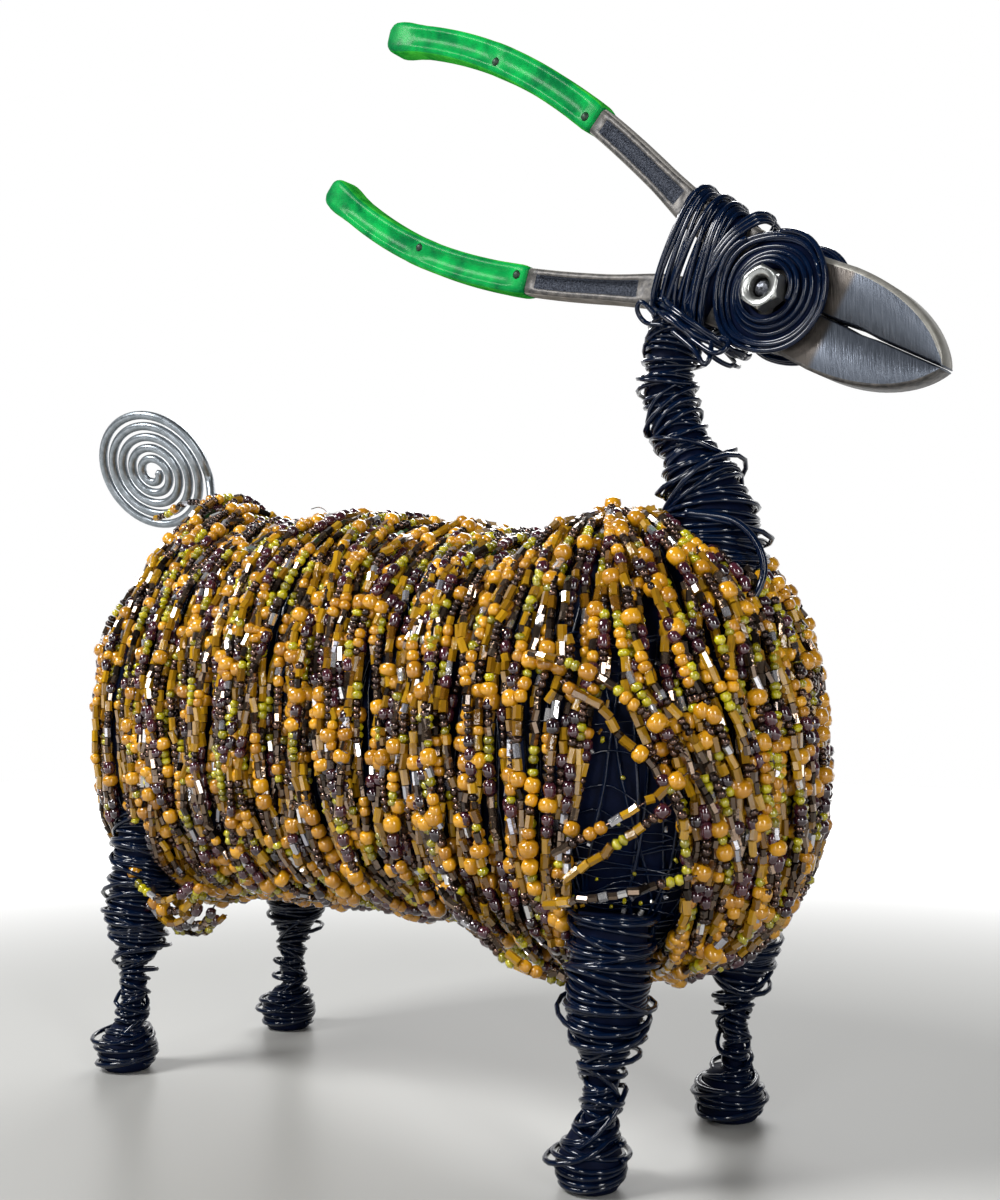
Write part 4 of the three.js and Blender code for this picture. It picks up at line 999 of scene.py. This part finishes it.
def add_jaw(shape, sign, rim):
    """One jaw on the side given by sign, from the joint to the tip. rim is its bevels' material: 1, the
    lighter bevel steel, on the upper jaw; 2, the dark rim steel, on the lower jaw, as painted shade on its
    downward bevel.
    """
    tip = JAW_WIDEST + (JAW_L - JAW_WIDEST) * np.sin(0.5 * np.pi * np.arange(1, 21) / 20)
    rings = []
    for x in np.concatenate([[1.5, 6, 10, 12, JAW_WIDEST], tip]):
        w = float(jaw_half_width(x))
        t = mix(JAW_HALF_T, JAW_TIP_HALF_T, float(smooth(x, JAW_WIDEST, JAW_L)))
        edge = min(EDGE_BEVEL, 0.25 * w)
        bevel = min(JAW_BEVEL * (0.75 if rim == 1 else 0.45), 0.3 * w)
        gap = min(0.05 + 0.32 * math.exp(-((x - JAW_GAP_AT) / JAW_GAP_SPREAD) ** 2), 0.3 * w)
        half = [(0.5, gap), (t * 0.72, gap + 0.55 * edge), (t, gap + edge), (t, w - bevel),
                (t - 0.16 * bevel, w - 0.5 * bevel), (t - 0.7 * bevel, w)]
        section = half + [(-y, z) for y, z in reversed(half)]
        rings.append([(x, y, sign * z) for y, z in section])
    rings = np.array(rings, float)
    rows, sides = rings.shape[:2]
    faces = skin_faces(rows, sides)
    side = np.arange(len(faces)) % sides
    # Faces 0, 1, 9, 10 and 11 along the mouth slit take the near-black trough steel: painted shade of the
    # slit between the jaws.
    parts = [(faces[np.isin(side, sides_of)], material, False)
             for sides_of, material in (((2, 8), 0), ((0, 1, 9, 10, 11), 3), ((3, 4, 5, 6, 7), rim))]
    shape.add_parts(to_goat(with_middles(rings)), parts + [(fans(rows, sides), 0, False)])


def lever(name, sign):
    """A forged lever: jaw, boss round the pivot, handle with a pocket, and the tang inside the sleeve."""
    shape = Shape()
    # The upper lever carries the lower jaw, whose downward bevel takes the dark rim steel as painted shade.
    add_jaw(shape, -sign, 2 if sign > 0 else 1)
    stations = [(u, 0) for u in np.linspace(6, 33, 14)] + [(34.2, POCKET_DEPTH)]
    stations += [(u, POCKET_DEPTH) for u in np.linspace(36, 59.3, 14)] + [(60.4, 0), (62.9, 0)]
    rings = [bar_ring(u, HANDLE_HALF_W, HANDLE_HALF_T, HANDLE_CHAMFER, trough, sign)
             for u, trough in stations]
    for u in np.linspace(GRIP_FROM + 0.1, HANDLE_L - 2 * GRIP_WALL, 24):
        rings.append(bar_ring(u, TANG_HALF_W, TANG_HALF_T, HANDLE_CHAMFER, 0.5, sign))
    add_bar(shape, rings, 2, 4, (3, 13, 29))
    rings = [hoop(BOSS_R, y, round_angles(48)) for y in (-JAW_HALF_T * sign, -0.15 * sign)]
    add_loft(shape, rings, 2, to=to_goat)
    shape.piece(f"pliers_lever_{name}_steel", [jaw_steel, bevel_steel, rim_and_bevel_shade_steel, trough_and_slit_shade_steel, side_steel],
                "tool_steel", f"pliers_lever_{name}")


def grip(name, sign):
    """A dipped sleeve: two long shallow troughs, a swollen end and two pits on each face, each a short dark
    green tube whose end is painted shade of the pit.
    """
    shape = Shape()
    stations = [(0, 0.9, 0), (0.015, 0.97, 0), (0.03, 1, 0), (0.045, 1, 0), (0.06, 1, 0.5), (0.08, 1, 1)]
    stations += [(s, 0.99, 1) for s in np.linspace(0.11, 0.42, 12)] + [(0.44, 1, 0.6), (0.46, 1, 0)]
    stations += [(0.48, 1, 0), (0.5, 1, 0.6)] + [(s, 0.98, 1) for s in np.linspace(0.53, 0.84, 12)]
    stations += [(0.86, 1.01, 0.6), (0.88, 1.03, 0.2), (0.9, 1.08, 0), (0.92, 1.12, 0), (0.945, 1.13, 0)]
    stations += [(0.965, 1.08, 0), (0.98, 0.95, 0), (0.992, 0.72, 0), (1, 0.4, 0)]
    rings = []
    for share, swell, dip in stations:
        half_w = (TANG_HALF_W + GRIP_WALL) * swell
        half_t = (TANG_HALF_T + GRIP_WALL) * (0.5 + 0.5 * swell)
        u = GRIP_FROM + 0.3 + (HANDLE_L - GRIP_FROM) * share
        rings.append(bar_ring(u, half_w, half_t, 1.2 * swell, dip * GRIP_DIP, sign))
    # The narrow sides take the lighter edge green, a painted sheen.
    add_bar(shape, rings, 0, 1)
    for side in (-1, 1):
        for u in GRIP_PITS:
            rise, _ = handle_at(u, TANG_HALF_W)
            ends = (2.6, TANG_HALF_T + GRIP_WALL + 0.05)
            path = np.array([(-u, side * y, sign * (rise - 0.9)) for y in ends])
            # A short near-black green tube at each pit, its end just out of the face: painted shade of the
            # pit.
            add_tube(shape, to_goat(path), GRIP_PIT_R, 12, (1, 0, 0.2), 2)
    shape.piece(f"grip_{name}_vinyl", [grip_face, grip_edge_sheen, grip_pit_shade], "green_vinyl", f"grip_{name}")


def eye_nuts():
    angle = round_angles(72)
    hexagon = NUT_ACROSS / 2 / np.cos(angle % (np.pi / 3) - np.pi / 6)
    corner_cut = np.minimum(hexagon, NUT_FACE_R)
    turn = angle + HEAD_SLOPE + math.radians(30) - NUT_TURN
    rings = [(corner_cut, 0.0), (hexagon, 0.4), (hexagon, NUT_T - 0.45), (corner_cut, NUT_T), (3.4, NUT_T),
             (2.75, NUT_T - 0.35)]
    for i in range(15):
        rings.append((2.5 if i % 2 else 2.15, NUT_T - 0.5 - (NUT_T - 1.0) * i / 14))
    rings.append((2.3, 0.0))
    rings += rings[:1]
    for side, sign in (("right", -1), ("left", 1)):
        points = np.array([hoop(r, sign * (NUT_BACK + d), turn) for r, d in rings])
        faces = skin_faces(len(points), 72)
        outer = 3 * 72
        shape = Shape()
        shape.add_parts(to_goat(points), [(faces[:outer], 0, True), (faces[outer:], 0, False)])
        shape.piece(f"eye_nut_{side}_zinc", [zinc], "zinc", f"eye_nut_{side}")


def pivot_stud():
    half = NUT_BACK + 0.72 * NUT_T
    profile = [(0.2, -half), (1.2, -half + 0.1), (1.75, -half + 0.5), (STUD_R, -half + 1.0),
               (STUD_R, half - 1.0), (1.75, half - 0.5), (1.2, half - 0.1), (0.2, half)]
    shape = Shape()
    # The stud's ends sit inside the nuts' bores and are painted dark, as painted shade.
    add_loft(shape, [hoop(r, y, round_angles(24)) for r, y in profile], 0, to=to_goat)
    shape.piece("pivot_stud_steel", [stud_bore_shade], "zinc", "pivot_stud")


def tail():
    cos_tilt, sin_tilt = math.cos(TAIL_TILT), math.sin(TAIL_TILT)
    normal = np.array([math.sin(TAIL_YAW) * cos_tilt, -math.cos(TAIL_YAW) * cos_tilt, sin_tilt])
    across = np.array([math.cos(TAIL_YAW), math.sin(TAIL_YAW), 0.0])
    up = np.cross(normal, across)
    share = np.linspace(0, 1, 64 * TAIL_TURNS + 1)
    angle = math.radians(5) + 2 * np.pi * TAIL_TURNS * (1 - share)
    radius = mix(TAIL_INNER_R, TAIL_R, share)
    spiral = np.outer(radius * np.cos(angle), across), np.outer(radius * np.sin(angle), up)
    path = np.array(TAIL_CENTRE) + spiral[0] + spiral[1]
    end = path[-1]
    lead = sample_curve([end, end - up * 0.35 * TAIL_R, np.array(TAIL_ROOT)], 24)
    path = np.concatenate([path, lead[1:]])
    shape = Shape()
    add_tube(shape, path, TAIL_WIRE_R, 12, normal)
    shape.piece("tail_spiral_wire", [tail_wire], "bright_wire", "tail_spiral")


# Camera, floor and light, the lights by place, size and power
CAMERA_H, CAMERA_F, CAMERA_AT = 94.5, 1374.0, (2.375, -2.713, 1)
AZIMUTH, PITCH = math.atan2(0.609, 0.793), math.radians(4.16)
PHOTO_H, SENSOR = 1200, 36.0
FLOOR_HALF, FLOOR_FADE = 1.2, (0.16, 0.75)
LIGHTS_AIM = (0, 0, 0.12)
LIGHTS = [
    ("key", (-0.30, -0.50, 0.60), (0.24, 0.24), 7.0),
    ("fill", (0.70, -0.35, 0.30), (0.10, 0.40), 2.3),
    ("front", (0.15, -0.75, 0.25), (0.08, 0.26), 1.3),
    ("back", (-0.3, 0.6, 0.6), (0.5, 0.3), 4.0),
]


def camera():
    place = (CAMERA_H * np.array(CAMERA_AT) + OFFSET) * MM
    level = math.cos(PITCH)
    forward = Vector((-math.sin(AZIMUTH) * level, math.cos(AZIMUTH) * level, math.sin(PITCH)))
    right = Vector((math.cos(AZIMUTH), math.sin(AZIMUTH), 0))
    above = right.cross(forward)
    data = bpy.data.cameras.new("camera")
    data.sensor_fit = "VERTICAL"
    data.sensor_height = SENSOR
    data.lens = CAMERA_F / PHOTO_H * SENSOR
    data.clip_start = 0.01
    obj = put("camera", data)
    obj.matrix_world = Matrix((right, above, -forward)).transposed().to_4x4()
    obj.location = Vector(place)
    bpy.context.scene.camera = obj


def area_light(name, at, size, power):
    data = bpy.data.lights.new(name, "AREA")
    data.shape = "RECTANGLE"
    data.size, data.size_y = size
    data.energy = power
    obj = put(name, data)
    obj.location = at
    obj.rotation_euler = (Vector(LIGHTS_AIM) - Vector(at)).to_track_quat("-Z", "Y").to_euler()


def pale_floor():
    """A pale floor, painted lighter and made to glow further out, a painted light that turns it into plain
    white there.
    """
    material, tree, shader = new_material("floor", Roughness=0.33, Specular_IOR_Level=0.35,
                                          Emission_Color=(1, 1, 1, 1))
    away = tree.nodes.new("ShaderNodeVectorMath")
    away.operation = "LENGTH"
    tree.links.new(tree.nodes.new("ShaderNodeTexCoord").outputs["Object"], away.inputs[0])
    far = map_range(tree, away.outputs["Value"], True, From_Min=FLOOR_FADE[0], From_Max=FLOOR_FADE[1])
    paint(tree, shader, far, [(0.0, (0.40, 0.40, 0.385)), (1.0, (0.8, 0.8, 0.8))])
    # The far floor glows by emission: painted light that blends it into the white background.
    tree.links.new(far, shader.inputs["Emission Strength"])
    mesh = bpy.data.meshes.new("floor")
    corners = [(x * FLOOR_HALF, y * FLOOR_HALF, 0) for x, y in ((-1, -1), (1, -1), (1, 1), (-1, 1))]
    mesh.from_pydata(corners, [], [(0, 1, 2, 3)])
    mesh.materials.append(material)
    put("floor", mesh)


def studio():
    """White light from behind the goat, dim from the camera's side, and four soft lights."""
    world = bpy.data.worlds.new("studio")
    world.use_nodes = True
    tree = world.node_tree
    split = tree.nodes.new("ShaderNodeVectorMath")
    split.operation = "DOT_PRODUCT"
    split.inputs[1].default_value = (-math.sin(AZIMUTH), math.cos(AZIMUTH), 0.0)
    tree.links.new(tree.nodes.new("ShaderNodeTexCoord").outputs["Generated"], split.inputs[0])
    lit = ramp(tree, split.outputs["Value"],
               [(0.0, (0.05, 0.052, 0.056)), (0.34, (0.10, 0.105, 0.115)), (0.74, (1.0, 1.0, 1.0))])
    tree.links.new(lit, tree.nodes["Background"].inputs["Color"])
    bpy.context.scene.world = world
    bpy.context.scene.view_settings.view_transform = "Standard"
    for name, at, size, power in LIGHTS:
        area_light(name, at, size, power)


camera()
pale_floor()
studio()
fleece()
loose_strands()
trunk()
legs()
neck()
for half, up in (("upper", 1), ("lower", -1)):
    lever(half, up)
    grip(half, up)
eye_nuts()
pivot_stud()
eye_coils()
lashing()
tail()
